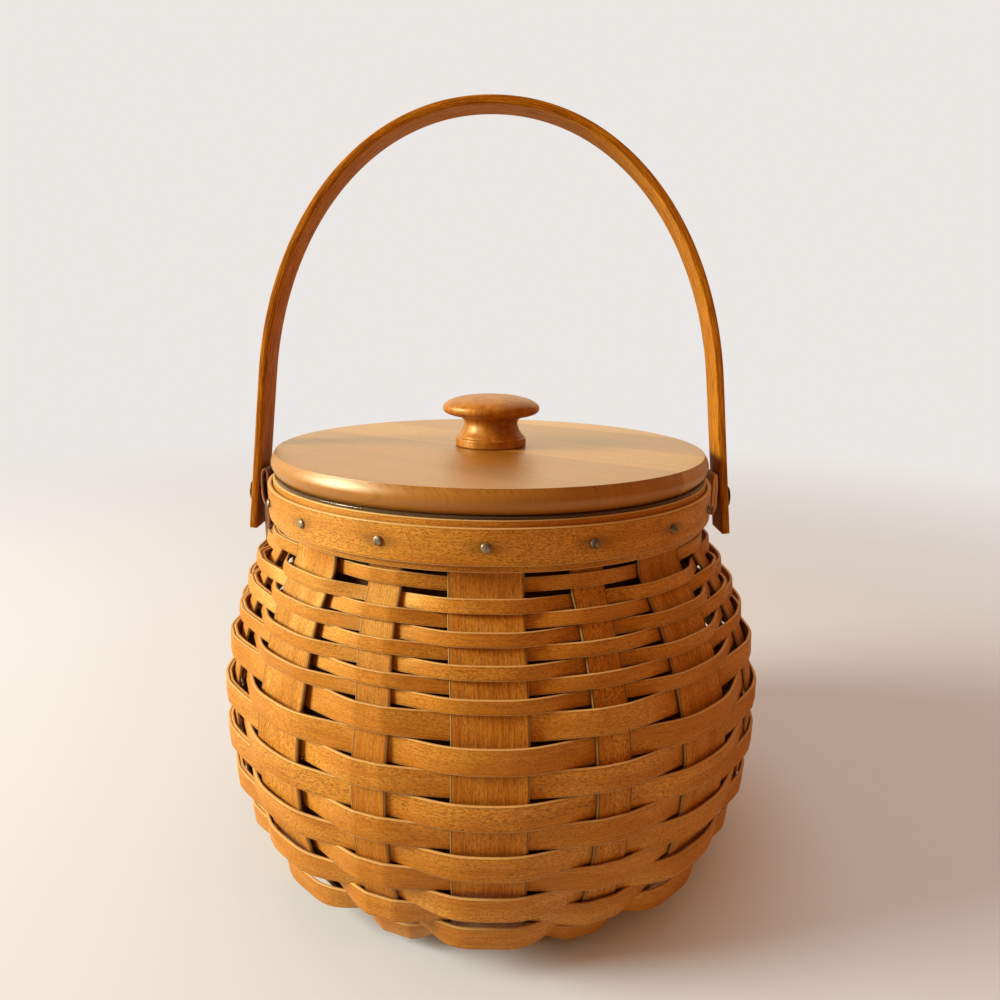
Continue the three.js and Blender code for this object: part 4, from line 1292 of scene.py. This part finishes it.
def pale_room(background):
    """What is round the basket, for each kind of ray.

    Seen by the camera it is the pale background, in gloss a bright wall behind and a dim room
    in front, and as light a dim warm room.
    """
    world = bpy.data.worlds.new("Pale room")
    world.use_nodes = True
    tree = world.node_tree
    tree.nodes.clear()
    maths, mix = "ShaderNodeMath", "ShaderNodeMix"
    path = add(tree, "ShaderNodeLightPath").outputs
    gloss, camera = path["Is Glossy Ray"], path["Is Camera Ray"]
    toward = add(tree, "ShaderNodeTexCoord").outputs["Generated"]
    parts = add(tree, "ShaderNodeSeparateXYZ", (toward,)).outputs
    # Brightness by direction: the wall behind, its shaded right, its window, and the room
    ramps = (
        ("Y", -0.1, 0.8, 0.12, 0.9),
        ("X", 0.1, 0.7, 1.0, 0.25),
        ("Z", 0.08, 0.24, 0.0, 0.8),
        ("X", -0.3, 0.9, 0.38, 0.78),
    )
    wall, shaded, window, room = (
        add(tree, "ShaderNodeMapRange", (parts[axis], *step), interpolation_type="SMOOTHSTEP")
        for axis, *step in ramps
    )
    behind = add(tree, maths, (window, 1.0), operation="ADD")
    for part in (wall, shaded):
        behind = add(tree, maths, (behind, part), operation="MULTIPLY")
    glossy = add(tree, mix, (gloss, room, behind), data_type="FLOAT")
    strength = add(tree, mix, (camera, glossy, 1.0), data_type="FLOAT")
    warm = add(tree, mix, (gloss, linear("ffb070"), linear("ffecc7")), data_type="RGBA")
    tint = add(tree, mix, (camera, warm, background), data_type="RGBA")
    sky = add(tree, "ShaderNodeBackground", {"Color": tint, "Strength": strength})
    add(tree, "ShaderNodeOutputWorld", {"Surface": sky})
    return world


def painted_floor(name, paint):
    """Matt floor paint: solid under the basket, so that its shadow is deep, and gone far off."""
    made, tree = new_material(name)
    place = add(tree, "ShaderNodeTexCoord").outputs["Object"]
    away = add(tree, "ShaderNodeVectorMath", (place,), operation="LENGTH")
    near, far = (
        add(tree, "ShaderNodeMapRange", (away, *step), interpolation_type="SMOOTHSTEP")
        for step in ((0.08, 0.18, 0.0, 0.25), (0.22, 1.25, 0.0, 0.75))
    )
    fade = add(tree, "ShaderNodeMath", (near, far), operation="ADD")
    matt = {"Base Color": paint, "Roughness": 0.9, "Specular IOR Level": 0.1}
    solid = add(tree, "ShaderNodeBsdfPrincipled", matt)
    clear = add(tree, "ShaderNodeBsdfTransparent")
    both = add(tree, "ShaderNodeMixShader", (fade, solid, clear))
    add(tree, "ShaderNodeOutputMaterial", {"Surface": both})
    return made


class BASKET_OT_stage(bpy.types.Operator):
    """Sets the camera, the lamps, the pale floor and the background"""

    bl_idname = "basket.stage"
    bl_label = "Stage"

    def execute(self, context):
        scene, colour = context.scene, context.scene.basket_colour
        scene.view_settings.view_transform = "Standard"
        place_camera(scene)
        place_lamp("Key", (-1.65, -0.3, 0.8), 0.8, 60.0, "fffce6")
        place_lamp("Top fill", (0.2, 0.1, 1.9), 1.6, 2.5, "fffaf4")
        scene.world = pale_room(colour.background)
        turn = np.linspace(0, 2 * math.pi, 64, endpoint=False)
        ring = [(2.0 * math.cos(a), 2.0 * math.sin(a), 0.0) for a in turn]
        mesh = bpy.data.meshes.new("Floor")
        mesh.from_pydata(ring, [], [list(range(len(ring)))])
        mesh.materials.append(painted_floor("Matt painted floor", colour.floor))
        new_object("Floor", mesh)
        return {"FINISHED"}


OPERATORS = (
    BASKET_OT_stage,
    BASKET_OT_uprights,
    BASKET_OT_weavers,
    BASKET_OT_bands,
    BASKET_OT_tacks,
    BASKET_OT_liner,
    BASKET_OT_lid,
    BASKET_OT_knob,
    BASKET_OT_handle,
    BASKET_OT_ears,
    BASKET_OT_rivets,
)


class BASKET_PT_panel(bpy.types.Panel):
    """Lists the basket's pieces in the sidebar"""

    bl_label = "Splint Basket"
    bl_idname = "BASKET_PT_panel"
    bl_space_type = "VIEW_3D"
    bl_region_type = "UI"
    bl_category = "Basket"

    def draw(self, context):
        for key, group in SETTINGS.items():
            box = self.layout.box()
            box.label(text=group.__doc__.strip("."))
            for name in group.__annotations__:
                box.prop(getattr(context.scene, key), name)
        for operator in OPERATORS:
            self.layout.operator(operator.bl_idname)


def register():
    """Registers the settings, the operators and the panel."""
    for key, group in SETTINGS.items():
        bpy.utils.register_class(group)
        setattr(bpy.types.Scene, key, PointerProperty(type=group))
    for kind in (*OPERATORS, BASKET_PT_panel):
        bpy.utils.register_class(kind)


def unregister():
    """Takes back what register() added."""
    for kind in (BASKET_PT_panel, *reversed(OPERATORS)):
        bpy.utils.unregister_class(kind)
    for key, group in SETTINGS.items():
        delattr(bpy.types.Scene, key)
        bpy.utils.unregister_class(group)


def main():
    """Builds every piece in order."""
    register()
    for operator in OPERATORS:
        name = operator.bl_idname.split(".")[1]
        getattr(bpy.ops.basket, name)()


if __name__ == "__main__":
    main()
